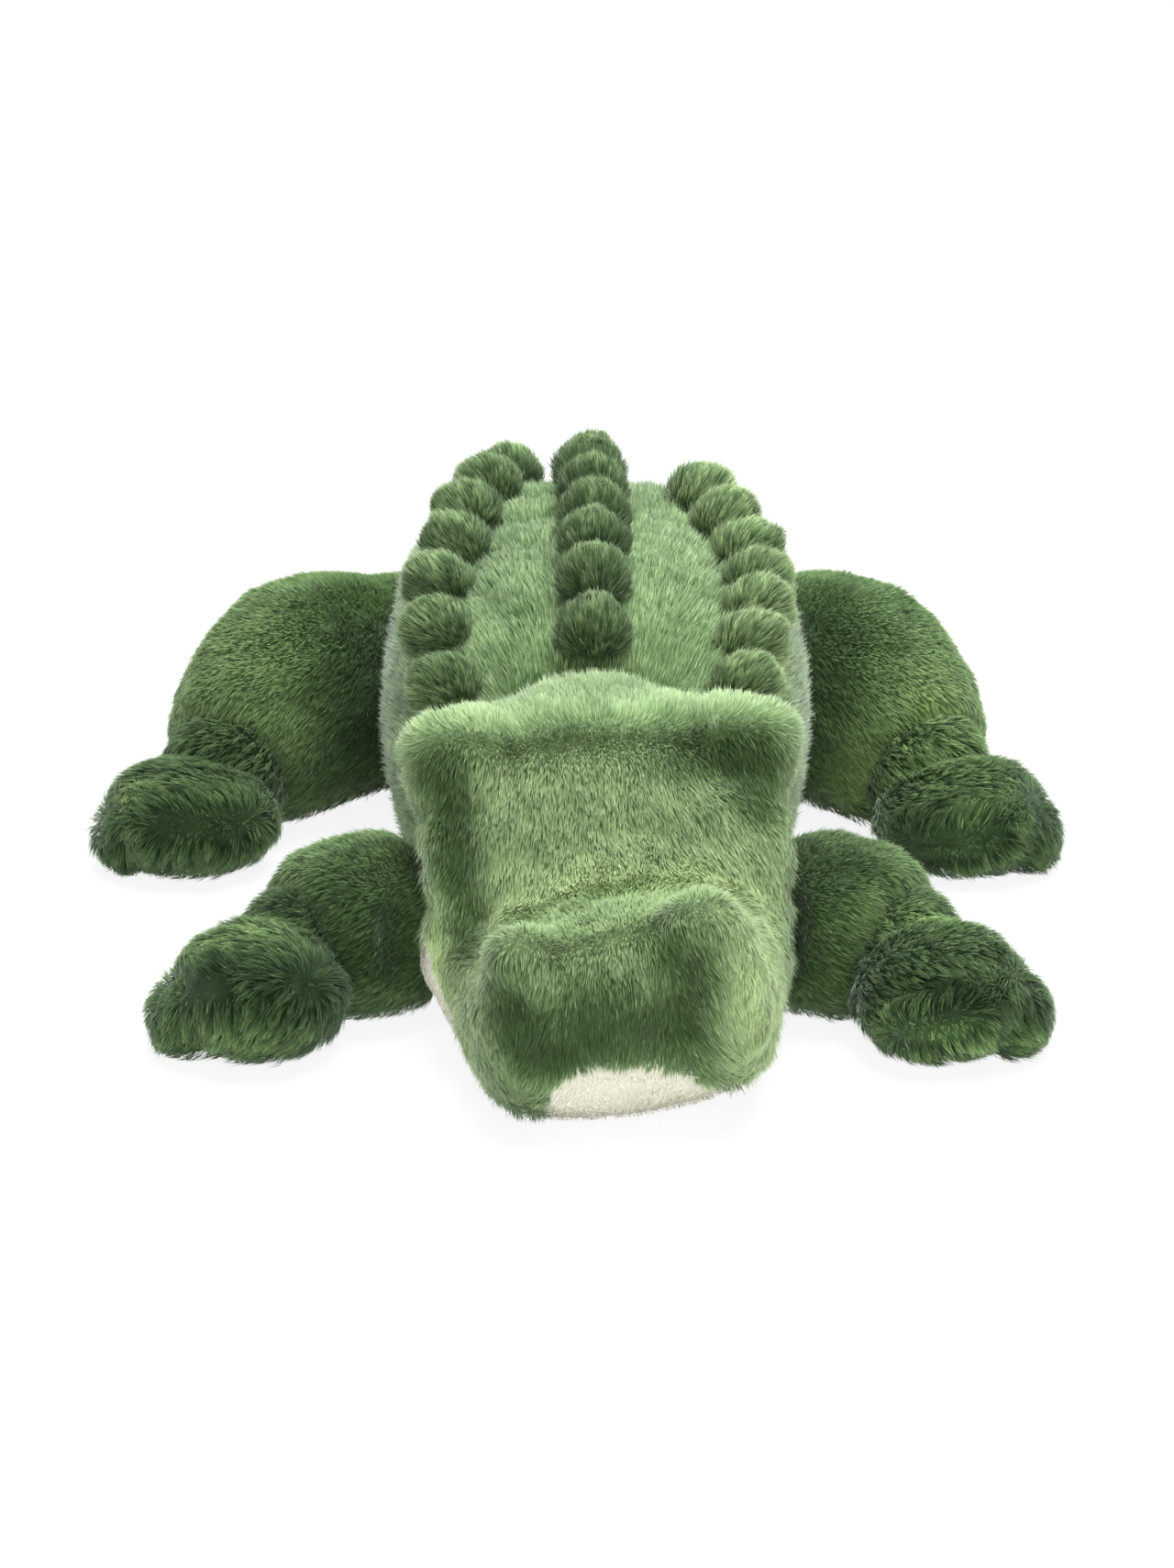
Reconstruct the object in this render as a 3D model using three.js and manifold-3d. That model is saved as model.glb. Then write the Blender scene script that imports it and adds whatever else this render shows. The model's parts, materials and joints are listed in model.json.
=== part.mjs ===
// Plush crocodile lying flat: sewn panels over stuffing, with limbs, neck and tail that move at their seams
// Millimetres, +Z up, head towards -Y, the animal's left side on +X; the belly rests on z = 0 at the origin
import * as THREE from 'three';
import { mergeVertices } from 'three/addons/utils/BufferGeometryUtils.js';
import Module from 'manifold-3d';

const wasm = await Module();
wasm.setup();

// Cloth and clearances
const plushThickness = 3;
const seamGap = 0.3;
const socketGap = 0.3;
const restDepth = 0.5;
const cutOverrun = 40;
// How square each section is: the power of its round, above and below its widest line
const upperRoundShare = 0.93;
const lowerRoundShare = 0.74;
// How far round a section its lowest corner lies
const downwardShare = 0.75;

// Torso
const torsoLength = 252;
const torsoFrontY = -126;
const torsoHalfWidth = 70;
const torsoHeight = 103;
const torsoSeamHeight = 22;
const torsoNoseRound = 13;
const torsoRumpRound = 26;
const torsoFrontShift = 3;
const torsoBend = 9;
const chestFrontLength = 40;
// Along the length, half width, top, underside and sideways bend, each as a share of its driving size
const torsoShares = [
  [0.00, 0.54, 0.37, 0.02, 0.0],
  [0.06, 0.68, 0.455, 0.00, 0.0],
  [0.16, 0.77, 0.49, 0.00, 0.0],
  [0.21, 0.83, 0.62, 0.00, 0.0],
  [0.28, 0.89, 0.81, 0.00, 0.0],
  [0.36, 0.95, 0.92, 0.00, 0.0],
  [0.47, 0.99, 0.99, 0.00, 0.0],
  [0.60, 1.00, 1.00, 0.00, 0.0],
  [0.72, 0.99, 0.99, 0.00, 0.10],
  [0.83, 0.92, 0.91, 0.00, 0.35],
  [0.93, 0.77, 0.76, 0.01, 0.70],
  [1.00, 0.55, 0.61, 0.05, 1.0],
];

// Neck and head
const neckBallRadius = 40;
const neckBehindFront = 44;
const neckHeight = 53;
const neckShiftX = 2;
const neckWadRadius = 14;
const neckWadNeckRadius = 9;
const neckWadFootRadius = 12;
const neckWadFootHeight = 6;
const neckWadFootZ = 6;
const neckWadFit = 0.9;
const neckNodRoomDeg = 19;
const headYawDeg = 6;
const neckTurnBackDeg = 12;
const neckTurnOnDeg = 4;
const headReach = 115;
const headHalfWidth = 57;
const headTop = 92;
const headUndersideHeight = 50;
const headSeamHeight = 21;
const headFrontRound = 13;
const headBackRound = 12;
const snoutTwistDeg = 9;
const snoutAxisHeight = 30;
// Along the reach, half width, top, underside and twist, each as a share of its driving size
const headShares = [
  [-0.07, 0.66, 0.96, 1.08, 0.0],
  [0.08, 0.84, 1.02, 1.02, 0.0],
  [0.24, 0.98, 0.98, 0.99, 0.0],
  [0.38, 1.00, 0.83, 0.93, 0.1],
  [0.49, 0.95, 0.685, 0.30, 0.4],
  [0.57, 0.93, 0.615, 0.00, 0.7],
  [0.70, 0.88, 0.63, -0.01, 0.9],
  [0.86, 0.81, 0.66, -0.01, 1.0],
  [1.00, 0.71, 0.62, 0.01, 1.0],
];
const chinPatchHalfWidth = 27;
const chinPatchLength = 40;
const chinPatchHeight = 23;

// Eye bumps, eyes and nostril lobes
const bumpHalfWidth = 18;
const bumpHalfLength = 20;
const bumpHalfHeight = 18;
const bumpOut = 42;
const bumpForward = 19;
const bumpHeight = 76;
const eyeRadius = 5.5;
const eyeDomeHeight = 3.4;
const eyePostRadius = 1.6;
const eyePostLength = 7.5;
const eyeWasherRadius = 4.5;
const eyeWasherThickness = 1.2;
const eyeWasherDepth = 4.4;
const eyeFit = 0.3;
const eyeTiltDeg = 16;
const lobeHalfWidth = 17;
const lobeHalfLength = 17;
const lobeHalfHeight = 30;
const lobeOut = 26.5;
const lobeForward = 99;
const lobeHeight = 34;

// Front legs, measured outwards from the shoulder line's middle and backwards from the torso's front
const shoulderOut = 54;
const shoulderShiftX = 1;
const shoulderBack = 24;
const shoulderHeight = 22;
const shoulderBallRadius = 21;
const armReachOut = 42;
const armReachForward = 20;
const armRadius = 28.5;
const armEndRound = 8;
const wristHeight = 21.5;
const wristBallRadius = 17.5;
const armSwingBackDeg = 25;
const armSwingForwardDeg = 2;
// Outward reach, forward reach, height blend from root to end, and radius share
const armShares = [
  [0.00, 0.00, 0.0, 0.74],
  [0.34, 0.24, -1.6, 1.00],
  [0.70, 0.55, -0.8, 0.97],
  [1.00, 1.00, 1.0, 0.82],
];
const pawHalfWidth = 26;
const pawHalfLength = 20.5;
const pawHalfHeight = 19;
const pawOut = 11;
const pawForward = 21;
const pawToeRadius = 12;
const pawToeOut = 21;
const pawToeForward = 1;

// Hind legs, measured outwards from the hip line's middle and backwards from the torso's front
const hipOut = 64;
const hipShiftX = -5;
const hipBack = 186;
const hipHeight = 34;
const hipBallRadius = 31;
const thighReachOut = 55;
const thighReachForward = 59;
const thighRadius = 38.5;
const thighEndRound = 7;
const ankleHeight = 23;
const ankleBallRadius = 19;
const thighSwingBackDeg = 20;
const thighSwingForwardDeg = 3;
const thighShares = [
  [0.00, 0.00, 0.0, 0.82],
  [0.25, 0.14, 0.05, 0.96],
  [0.52, 0.32, 0.15, 1.02],
  [0.80, 0.66, 0.55, 0.86],
  [1.00, 1.00, 1.00, 0.58],
];
const footHalfWidth = 28;
const footHalfLength = 21;
const footHalfHeight = 17;
const footOut = 11;
const footForward = 20;
const footToeRadius = 11.5;
const footToeOut = 20;
const footToeForward = 2;

// Tail
const tailRootFromRear = 15;
const tailRootHeight = 40;
const tailRootDrop = 60;
const tailBallRadius = 31;
const tailLength = 150;
const tailCurl = 16;
const tailRadius = 29;
const tailTipRadius = 5;
const tailBendShare = 0.5;
const tailJointWall = 2.5;
const tailJointRound = 9;
const tailSwingDeg = 20;

// Back tufts
const tuftHalfWidth = 11.5;
const tuftHalfThickness = 7.5;
const tuftHalfHeight = 12;
const tuftRise = 6;
const sideTuftOut = 50;
// Where each row starts and ends, as shares of the torso's length
const centreRowShares = [0.325, 0.83];
const leftRowSpanShares = [0.298, 0.715];
const rightRowSpanShares = [0.298, 0.855];
// Each tail tuft's place along the tail and its size, as shares of the tail's length and of a back tuft
const tailTuftShares = [[0.26, 0.8], [0.40, 0.74], [0.62, 0.64], [0.76, 0.54]];
// How far out a side row lies along its length, as shares of sideTuftOut, for the right and the left row
const rightRowShares = [0.90, 0.95, 0.95, 0.89, 0.81, 0.65, 0.47];
const leftRowShares = [0.88, 0.93, 0.98, 0.98, 0.93, 0.83, 0.68];

// Stuffing inside
const pouchHalfWidth = 42;
const pouchHalfLength = 62;
const pouchHalfHeight = 16;

// Facets
const torsoRings = 14;
const torsoSides = 18;
const headRings = 12;
const headSides = 18;
const innerRings = 6;
const innerSides = 10;
const limbRings = 5;
const limbSides = 10;
const capRings = 2;
const wadRings = 4;
const tailStations = 4;
const endSides = 14;
const neckSides = 22;
const ballSides = 16;
const ballRings = 8;
const padSides = 12;
const padRings = 7;
const smallSides = 8;
const smallRings = 6;
const sweepSteps = 4;

const materials = {
  plush: new THREE.MeshStandardMaterial({ color: 0x6f9a58, roughness: 0.95, metalness: 0 }),
  longPlush: new THREE.MeshStandardMaterial({ color: 0x456b3a, roughness: 0.95, metalness: 0 }),
  cream: new THREE.MeshStandardMaterial({ color: 0xe9e6d2, roughness: 0.95, metalness: 0 }),
  stuffing: new THREE.MeshStandardMaterial({ color: 0xf4f3ee, roughness: 1, metalness: 0 }),
  pellets: new THREE.MeshStandardMaterial({ color: 0xd9d3c4, roughness: 0.9, metalness: 0 }),
  eye: new THREE.MeshStandardMaterial({ color: 0x14100c, roughness: 0.12, metalness: 0 }),
  washer: new THREE.MeshStandardMaterial({ color: 0xe8e8e4, roughness: 0.5, metalness: 0 }),
};

const radians = THREE.MathUtils.degToRad;
const upAxis = new THREE.Vector3(0, 0, 1);
const crocodile = new THREE.Group();

// Solids

function solidOf(geometry) {
  geometry.deleteAttribute('normal');
  geometry.deleteAttribute('uv');
  const merged = mergeVertices(geometry);
  return new wasm.Manifold(new wasm.Mesh({
    numProp: 3,
    vertProperties: new Float32Array(merged.attributes.position.array),
    triVerts: new Uint32Array(merged.index.array),
  }));
}

function geometryOf(solid) {
  const mesh = solid.getMesh();
  const geometry = new THREE.BufferGeometry();
  geometry.setAttribute('position', new THREE.BufferAttribute(new Float32Array(mesh.vertProperties), 3));
  geometry.setIndex(new THREE.BufferAttribute(new Uint32Array(mesh.triVerts), 1));
  geometry.computeVertexNormals();
  return geometry;
}

// A ball whose poles lie on the given axis; its rings are circles round that axis
function ball(centre, radius, axis = upAxis, sides = ballSides, rings = ballRings) {
  const geometry = new THREE.SphereGeometry(radius, sides, rings);
  geometry.applyQuaternion(new THREE.Quaternion().setFromUnitVectors(new THREE.Vector3(0, 1, 0), axis));
  geometry.translate(centre.x, centre.y, centre.z);
  return solidOf(geometry);
}

// The socket of such a ball: its facets lie outside the ball at every turn about the axis
function socket(centre, radius, axis = upAxis, sides = ballSides, rings = ballRings) {
  return ball(centre, (radius + socketGap) / Math.cos(Math.PI / sides), axis, sides, rings);
}

function padGeometry(centre, halfSizes, sides = padSides, rings = padRings) {
  const geometry = new THREE.SphereGeometry(1, sides, rings);
  geometry.rotateX(Math.PI / 2);
  geometry.scale(halfSizes.x, halfSizes.y, halfSizes.z);
  geometry.translate(centre.x, centre.y, centre.z);
  return geometry;
}

function pad(centre, halfSizes, sides, rings) {
  return solidOf(padGeometry(centre, halfSizes, sides, rings));
}

function slab(low, high) {
  const size = high.clone().sub(low);
  const geometry = new THREE.BoxGeometry(size.x, size.y, size.z);
  geometry.translate((low.x + high.x) / 2, (low.y + high.y) / 2, (low.z + high.z) / 2);
  return solidOf(geometry);
}

// Everything above the floor, which trims each form flat where it rests
const spanX = 2 * (hipOut + thighReachOut + footToeOut + footOut + cutOverrun);
const spanY = 2 * (torsoLength + tailLength + headReach);
const spanZ = 2 * torsoHeight;

function above(z) {
  return slab(new THREE.Vector3(-spanX, -spanY, z), new THREE.Vector3(spanX, spanY, z + spanZ));
}

function below(z) {
  return slab(new THREE.Vector3(-spanX, -spanY, z - spanZ), new THREE.Vector3(spanX, spanY, z));
}

const overFloor = above(0);

// A place along a spine, which runs on straight past its ends
function placeAlong(spine, length, share) {
  const inside = THREE.MathUtils.clamp(share, 0, 1);
  return spine.getPointAt(inside).addScaledVector(spine.getTangentAt(inside), (share - inside) * length);
}

function signedPower(value, power) {
  return Math.sign(value) * Math.abs(value) ** power;
}

// A stuffed form: rounded sections along a spine, closed to a point at both ends over the given end lengths
function stuffedForm(stations, { rings, sides, startRound, endRound, upright, shrink = 0, twist = () => 0 }) {
  const spine = new THREE.CatmullRomCurve3(stations.map((station) => station.centre), false, 'centripetal');
  const radii = stations.map((station) => new THREE.Vector3(station.wide, station.up, station.down));
  const sizes = new THREE.CatmullRomCurve3(radii);
  const length = spine.getLength();
  const trim = shrink / length;
  const steps = [];
  for (let k = 0; k <= capRings; k += 1) {
    const angle = (k / capRings) * Math.PI / 2;
    steps.push({ along: (startRound / length) * (1 - Math.cos(angle)), swell: Math.sin(angle) });
  }
  const first = startRound / length;
  const last = 1 - endRound / length;
  for (let k = 1; k < rings; k += 1) steps.push({ along: first + (last - first) * (k / rings), swell: 1 });
  for (let k = capRings; k >= 0; k -= 1) {
    const angle = (k / capRings) * Math.PI / 2;
    steps.push({ along: 1 - (endRound / length) * (1 - Math.cos(angle)), swell: Math.sin(angle) });
  }

  // Each section has a corner straight down, so that the cut on the floor is flat and wide
  const firstStepShare = (sides * downwardShare) % 1;
  const positions = [];
  const ringSteps = steps.filter((step) => step.swell > 0);
  for (const step of ringSteps) {
    const share = THREE.MathUtils.clamp(trim + step.along * (1 - 2 * trim), 0, 1);
    const centre = placeAlong(spine, length, trim + step.along * (1 - 2 * trim));
    const size = sizes.getPoint(spine.getUtoTmapping(share));
    const tangent = spine.getTangentAt(share);
    const heading = upright ? new THREE.Vector3(0, Math.sign(tangent.y), 0) : tangent;
    const across = new THREE.Vector3().crossVectors(heading, upAxis).normalize();
    const rise = new THREE.Vector3().crossVectors(across, heading).normalize();
    const turn = twist(share);
    for (let k = 0; k < sides; k += 1) {
      const angle = ((k + firstStepShare) / sides) * Math.PI * 2;
      const power = Math.sin(angle) < 0 ? lowerRoundShare : upperRoundShare;
      const reach = Math.sin(angle) < 0 ? size.z : size.y;
      const wide = signedPower(Math.cos(angle), power) * (size.x - shrink);
      const tall = signedPower(Math.sin(angle), power) * (reach - shrink);
      const turnedWide = (wide * Math.cos(turn) - tall * Math.sin(turn)) * step.swell;
      const turnedTall = (wide * Math.sin(turn) + tall * Math.cos(turn)) * step.swell;
      const point = centre.clone().addScaledVector(across, turnedWide).addScaledVector(rise, turnedTall);
      positions.push(point.x, point.y, point.z);
    }
  }
  const startTip = placeAlong(spine, length, trim);
  const endTip = placeAlong(spine, length, 1 - trim);
  positions.push(startTip.x, startTip.y, startTip.z, endTip.x, endTip.y, endTip.z);

  const index = [];
  const startPole = ringSteps.length * sides;
  const endPole = startPole + 1;
  const lastRing = (ringSteps.length - 1) * sides;
  for (let k = 0; k < sides; k += 1) {
    const next = (k + 1) % sides;
    for (let ring = 0; ring < ringSteps.length - 1; ring += 1) {
      const a = ring * sides + k;
      const b = ring * sides + next;
      index.push(a, a + sides, b, b, a + sides, b + sides);
    }
    index.push(startPole, k, next, endPole, lastRing + next, lastRing + k);
  }
  const geometry = new THREE.BufferGeometry();
  geometry.setAttribute('position', new THREE.Float32BufferAttribute(positions, 3));
  geometry.setIndex(index);
  return solidOf(geometry);
}

function addPiece(name, solid, material, parent = crocodile) {
  const mesh = new THREE.Mesh(geometryOf(solid), material);
  mesh.name = name;
  parent.add(mesh);
  return mesh;
}

// Where the joints lie

const torsoRearY = torsoFrontY + torsoLength;
const neckCentre = new THREE.Vector3(neckShiftX, torsoFrontY + neckBehindFront, neckHeight);

function bendAt(share) {
  const row = torsoShares.findIndex((entry) => entry[0] >= share);
  const upper = torsoShares[Math.max(row, 1)];
  const lower = torsoShares[Math.max(row, 1) - 1];
  const blend = (share - lower[0]) / (upper[0] - lower[0]);
  return torsoFrontShift - torsoBend * THREE.MathUtils.lerp(lower[4], upper[4], blend);
}

const sideNames = { left: 1, right: -1 };
const shoulderMiddle = bendAt(shoulderBack / torsoLength) + shoulderShiftX;
const hipMiddle = bendAt(hipBack / torsoLength) + hipShiftX;
const tailMiddle = bendAt((torsoLength - tailRootFromRear) / torsoLength);

function shoulderCentre(sign) {
  return new THREE.Vector3(shoulderMiddle + sign * shoulderOut, torsoFrontY + shoulderBack, shoulderHeight);
}

function hipCentre(sign) {
  return new THREE.Vector3(hipMiddle + sign * hipOut, torsoFrontY + hipBack, hipHeight);
}

const tailCentre = new THREE.Vector3(tailMiddle, torsoRearY - tailRootFromRear, tailRootHeight);

// Torso

function torsoForm(shrink, rings = torsoRings, sides = torsoSides) {
  const stations = torsoShares.map(([along, wide, top, underside, bend]) => {
    const high = top * torsoHeight;
    const low = underside * torsoHeight - restDepth;
    const middle = (high + low) / 2;
    const x = torsoFrontShift - bend * torsoBend;
    return {
      centre: new THREE.Vector3(x, torsoFrontY + along * torsoLength, middle),
      wide: wide * torsoHalfWidth,
      up: high - middle,
      down: middle - low,
    };
  });
  return stuffedForm(stations, {
    rings, sides, startRound: torsoNoseRound, endRound: torsoRumpRound, upright: true, shrink,
  });
}

// The neck turns about two axes, so its socket clears the ball's facets both ways
const neckSocketRadius = (neckBallRadius + socketGap) / Math.cos(Math.PI / neckSides);

function torsoSockets() {
  let sockets = socket(neckCentre, neckSocketRadius - socketGap, upAxis, neckSides, neckSides / 2);
  for (const sign of Object.values(sideNames)) {
    sockets = sockets.add(socket(shoulderCentre(sign), shoulderBallRadius));
    sockets = sockets.add(socket(hipCentre(sign), hipBallRadius));
  }
  return sockets.add(socket(tailCentre, tailBallRadius));
}

const torsoOuter = torsoForm(0);
const sockets = torsoSockets();

// The stuffing wad in the neck: a ball in the head, a stalk and a foot spread in the chest
function neckWad(grow) {
  const stalk = neckWadNeckRadius + grow;
  const foot = neckWadFootRadius + grow;
  const reach = neckWadRadius + grow;
  const ballBottomAngle = Math.asin(stalk / reach);
  const profile = [new THREE.Vector2(0, neckWadFootZ - grow), new THREE.Vector2(foot, neckWadFootZ - grow)];
  profile.push(new THREE.Vector2(foot, neckWadFootZ + neckWadFootHeight + grow));
  profile.push(new THREE.Vector2(stalk, neckWadFootZ + neckWadFootHeight + grow));
  for (let k = 0; k <= wadRings; k += 1) {
    const angle = (1 - k / wadRings) * (Math.PI - ballBottomAngle);
    const across = k < wadRings ? reach * Math.sin(angle) : 0;
    profile.push(new THREE.Vector2(across, neckHeight + reach * Math.cos(angle)));
  }
  const geometry = new THREE.LatheGeometry(profile, padSides);
  geometry.rotateX(Math.PI / 2);
  geometry.translate(neckCentre.x, neckCentre.y, 0);
  return solidOf(geometry);
}

// What the belly cloth covers: the low part of the torso, and its front under the head
function bellyZone(grow) {
  const front = torsoFrontY + chestFrontLength + grow;
  const low = new THREE.Vector3(-spanX, -spanY, -spanZ);
  const high = new THREE.Vector3(spanX, front, spanZ);
  return below(torsoSeamHeight + grow).add(slab(low, high));
}

function addTorso() {
  const lining = torsoForm(plushThickness, innerRings, innerSides);
  const shell = torsoOuter.subtract(lining).intersect(overFloor).subtract(sockets);
  addPiece('back_panel', shell.subtract(bellyZone(seamGap)), materials.plush);
  addPiece('belly_panel', shell.intersect(bellyZone(0)), materials.cream);
  const pouchFloor = plushThickness + seamGap;
  const middleY = torsoFrontY + torsoLength / 2;
  const pouchAt = new THREE.Vector3(torsoFrontShift, middleY, pouchFloor + pouchHalfHeight - restDepth);
  const pouchSize = new THREE.Vector3(pouchHalfWidth, pouchHalfLength, pouchHalfHeight);
  const hollow = pad(pouchAt, pouchSize.clone().addScalar(seamGap)).add(neckWad(neckWadFit));
  const filled = torsoForm(plushThickness + seamGap, innerRings, innerSides);
  const inside = filled.intersect(above(pouchFloor)).subtract(sockets);
  addPiece('body_stuffing', inside.subtract(hollow), materials.stuffing);
  const pouch = pad(pouchAt, pouchSize).intersect(inside).subtract(neckWad(neckWadFit));
  addPiece('pellet_pouch', pouch, materials.pellets);
  addPiece('neck_stuffing', neckWad(0), materials.stuffing);
}

// Head, modelled facing -Y from the neck's centre and then turned by its resting yaw

const outerHeadFacets = { rings: headRings, sides: headSides, ballFacets: neckSides };
const innerHeadFacets = { rings: innerRings, sides: innerSides, ballFacets: innerSides };

function headForm(shrink, { rings, sides, ballFacets } = outerHeadFacets) {
  const stations = headShares.map(([along, wide, top, underside]) => {
    const high = top * headTop;
    const low = underside * headUndersideHeight - restDepth;
    const middle = (high + low) / 2;
    return {
      centre: new THREE.Vector3(0, -along * headReach, middle - neckHeight),
      wide: wide * headHalfWidth,
      up: high - middle,
      down: middle - low,
    };
  });
  const twistShares = headShares.map((entry) => entry[4]);
  const twist = (share) => {
    const place = share * (twistShares.length - 1);
    const lower = Math.min(Math.floor(place), twistShares.length - 2);
    const blended = THREE.MathUtils.lerp(twistShares[lower], twistShares[lower + 1], place - lower);
    return -radians(snoutTwistDeg) * blended;
  };
  const loft = stuffedForm(stations, {
    rings, sides, startRound: headBackRound, endRound: headFrontRound, upright: true, shrink, twist,
  });
  const neckBall = ball(new THREE.Vector3(), neckBallRadius - shrink, upAxis, ballFacets, ballFacets / 2);
  return loft.add(neckBall);
}

// The way left for the neck's stuffing: its ball, and a cone downwards in which its stalk tilts
function neckRoom() {
  const stalk = neckWadNeckRadius + socketGap;
  const depth = neckBallRadius + cutOverrun;
  const wide = stalk + depth * Math.tan(radians(neckNodRoomDeg));
  const cone = new THREE.CylinderGeometry(stalk, wide, depth, padSides);
  cone.translate(0, -depth / 2, 0);
  cone.rotateX(Math.PI / 2);
  return socket(new THREE.Vector3(), neckWadRadius + socketGap, upAxis).add(solidOf(cone));
}

// What the cream cloth covers: the low part of the head, and an arch under the nose
function jawZone(grow) {
  const behind = -headReach + chinPatchLength - grow;
  const low = new THREE.Vector3(-headHalfWidth - cutOverrun, behind, -neckHeight - cutOverrun);
  const seam = headSeamHeight - neckHeight + grow;
  const high = new THREE.Vector3(headHalfWidth + cutOverrun, -neckBallRadius, seam);
  return solidOf(chinArch(grow)).add(slab(low, high));
}

// The arch of cream cloth that shows under the nose
function chinArch(grow) {
  const outline = new THREE.Shape();
  outline.absellipse(0, 0, chinPatchHalfWidth + grow, chinPatchHeight + grow, 0, Math.PI * 2);
  const arch = new THREE.ExtrudeGeometry(outline, {
    depth: chinPatchLength + cutOverrun, bevelEnabled: false, curveSegments: padSides,
  });
  arch.rotateX(Math.PI / 2);
  arch.translate(0, -headReach + chinPatchLength + grow, -neckHeight);
  return twistWithNose(arch);
}

// Turns a geometry with the snout, about the snout's own long axis
function twistWithNose(geometry) {
  const lift = snoutAxisHeight - neckHeight;
  geometry.translate(0, 0, -lift);
  geometry.rotateY(radians(snoutTwistDeg) * -1);
  geometry.translate(0, 0, lift);
  return geometry;
}

function addHead() {
  const head = new THREE.Group();
  head.position.copy(neckCentre);
  head.rotation.z = radians(headYawDeg);
  crocodile.add(head);

  const outer = headForm(0);
  const floor = above(-neckHeight);
  const room = neckRoom();
  const shell = outer.subtract(headForm(plushThickness, innerHeadFacets)).intersect(floor).subtract(room);
  addPiece('head_cap', shell.subtract(jawZone(seamGap)), materials.plush, head);
  addPiece('jaw_panel', shell.intersect(jawZone(0)), materials.cream, head);
  const lining = plushThickness + seamGap;
  const inside = headForm(lining, innerHeadFacets).intersect(above(lining - neckHeight));
  addPiece('head_stuffing', inside.subtract(room), materials.stuffing, head);

  const seat = headForm(-seamGap);
  for (const [name, sign] of Object.entries(sideNames)) {
    const bumpAt = new THREE.Vector3(sign * bumpOut, -bumpForward, bumpHeight - neckHeight);
    const bump = pad(bumpAt, new THREE.Vector3(bumpHalfWidth, bumpHalfLength, bumpHalfHeight));
    const eyeHole = eyeAt(eyeProfile(eyeFit), bumpAt, sign).add(eyeAt(washerProfile(eyeFit), bumpAt, sign));
    addPiece(`eye_bump_${name}`, bump.subtract(seat).subtract(eyeHole), materials.plush, head);
    addPiece(`eye_${name}`, eyeAt(eyeProfile(0), bumpAt, sign), materials.eye, head);
    addPiece(`eye_washer_${name}`, eyeAt(washerProfile(0), bumpAt, sign), materials.washer, head);
    const lobeAt = new THREE.Vector3(sign * lobeOut, -lobeForward, lobeHeight - neckHeight);
    const lobeSize = new THREE.Vector3(lobeHalfWidth, lobeHalfLength, lobeHalfHeight);
    const lobe = solidOf(twistWithNose(padGeometry(lobeAt, lobeSize)));
    addPiece(`nostril_${name}`, lobe.subtract(seat).intersect(floor), materials.plush, head);
  }
}

// An eye: a glossy dome on a post, and the washer that locks on the post inside the bump
function eyeProfile(grow) {
  const post = eyePostRadius + grow;
  const foot = -eyePostLength - grow;
  const corners = [[0, foot], [post, foot], [post, -grow], [eyeRadius + grow, -grow]];
  const profile = corners.map(([across, along]) => new THREE.Vector2(across, along));
  for (let k = 1; k <= capRings; k += 1) {
    const angle = (k / capRings) * Math.PI / 2;
    const across = k < capRings ? (eyeRadius + grow) * Math.cos(angle) : 0;
    profile.push(new THREE.Vector2(across, (eyeDomeHeight + grow) * Math.sin(angle)));
  }
  return profile;
}

function washerProfile(grow) {
  const inner = grow > 0 ? 0 : eyePostRadius + eyeFit;
  const low = -eyeWasherDepth - eyeWasherThickness - grow;
  const high = -eyeWasherDepth + grow;
  const outer = eyeWasherRadius + grow;
  const corners = [[inner, low], [outer, low], [outer, high], [inner, high]];
  const profile = corners.map(([across, along]) => new THREE.Vector2(across, along));
  if (inner > 0) profile.push(profile[0].clone());
  return profile;
}

function eyeAt(profile, bumpAt, sign) {
  const geometry = new THREE.LatheGeometry(profile, smallSides);
  geometry.rotateX(Math.PI / 2);
  geometry.rotateY(sign * (Math.PI / 2 - radians(eyeTiltDeg)));
  const tilt = radians(eyeTiltDeg);
  const out = sign * (bumpHalfWidth - seamGap) * Math.cos(tilt);
  geometry.translate(bumpAt.x + out, bumpAt.y, bumpAt.z + bumpHalfHeight * Math.sin(tilt));
  return solidOf(geometry);
}

// The torso as a limb meets it through its whole swing about the limb's root
function torsoSweep(root, fromDeg, toDeg) {
  let sweep = torsoForm(-seamGap);
  for (let k = 0; k <= sweepSteps; k += 1) {
    const turned = geometryOf(torsoForm(-seamGap));
    turned.translate(-root.x, -root.y, 0);
    turned.rotateZ(-radians(THREE.MathUtils.lerp(fromDeg, toDeg, k / sweepSteps)));
    turned.translate(root.x, root.y, 0);
    sweep = sweep.add(solidOf(turned));
  }
  return sweep;
}

// The head as a front leg meets it while the neck turns and the leg swings forward
function headSweep(root, sign) {
  const forward = radians(armSwingForwardDeg) * sign;
  const still = geometryOf(headForm(-seamGap));
  const swept = [];
  for (let k = 0; k <= sweepSteps; k += 1) {
    const turned = still.clone();
    const turnDeg = THREE.MathUtils.lerp(-neckTurnBackDeg, neckTurnOnDeg, k / sweepSteps);
    turned.rotateZ(radians(headYawDeg + turnDeg));
    turned.translate(neckCentre.x - root.x, neckCentre.y - root.y, neckCentre.z);
    for (const swing of [0, forward]) {
      swept.push(turned.clone().rotateZ(swing).translate(root.x, root.y, 0));
    }
  }
  return swept.map((geometry) => solidOf(geometry)).reduce((whole, solid) => whole.add(solid));
}

// Limbs: a tapering tube with a ball at its root, and a padded end that hinges on a ball of its own

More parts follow.
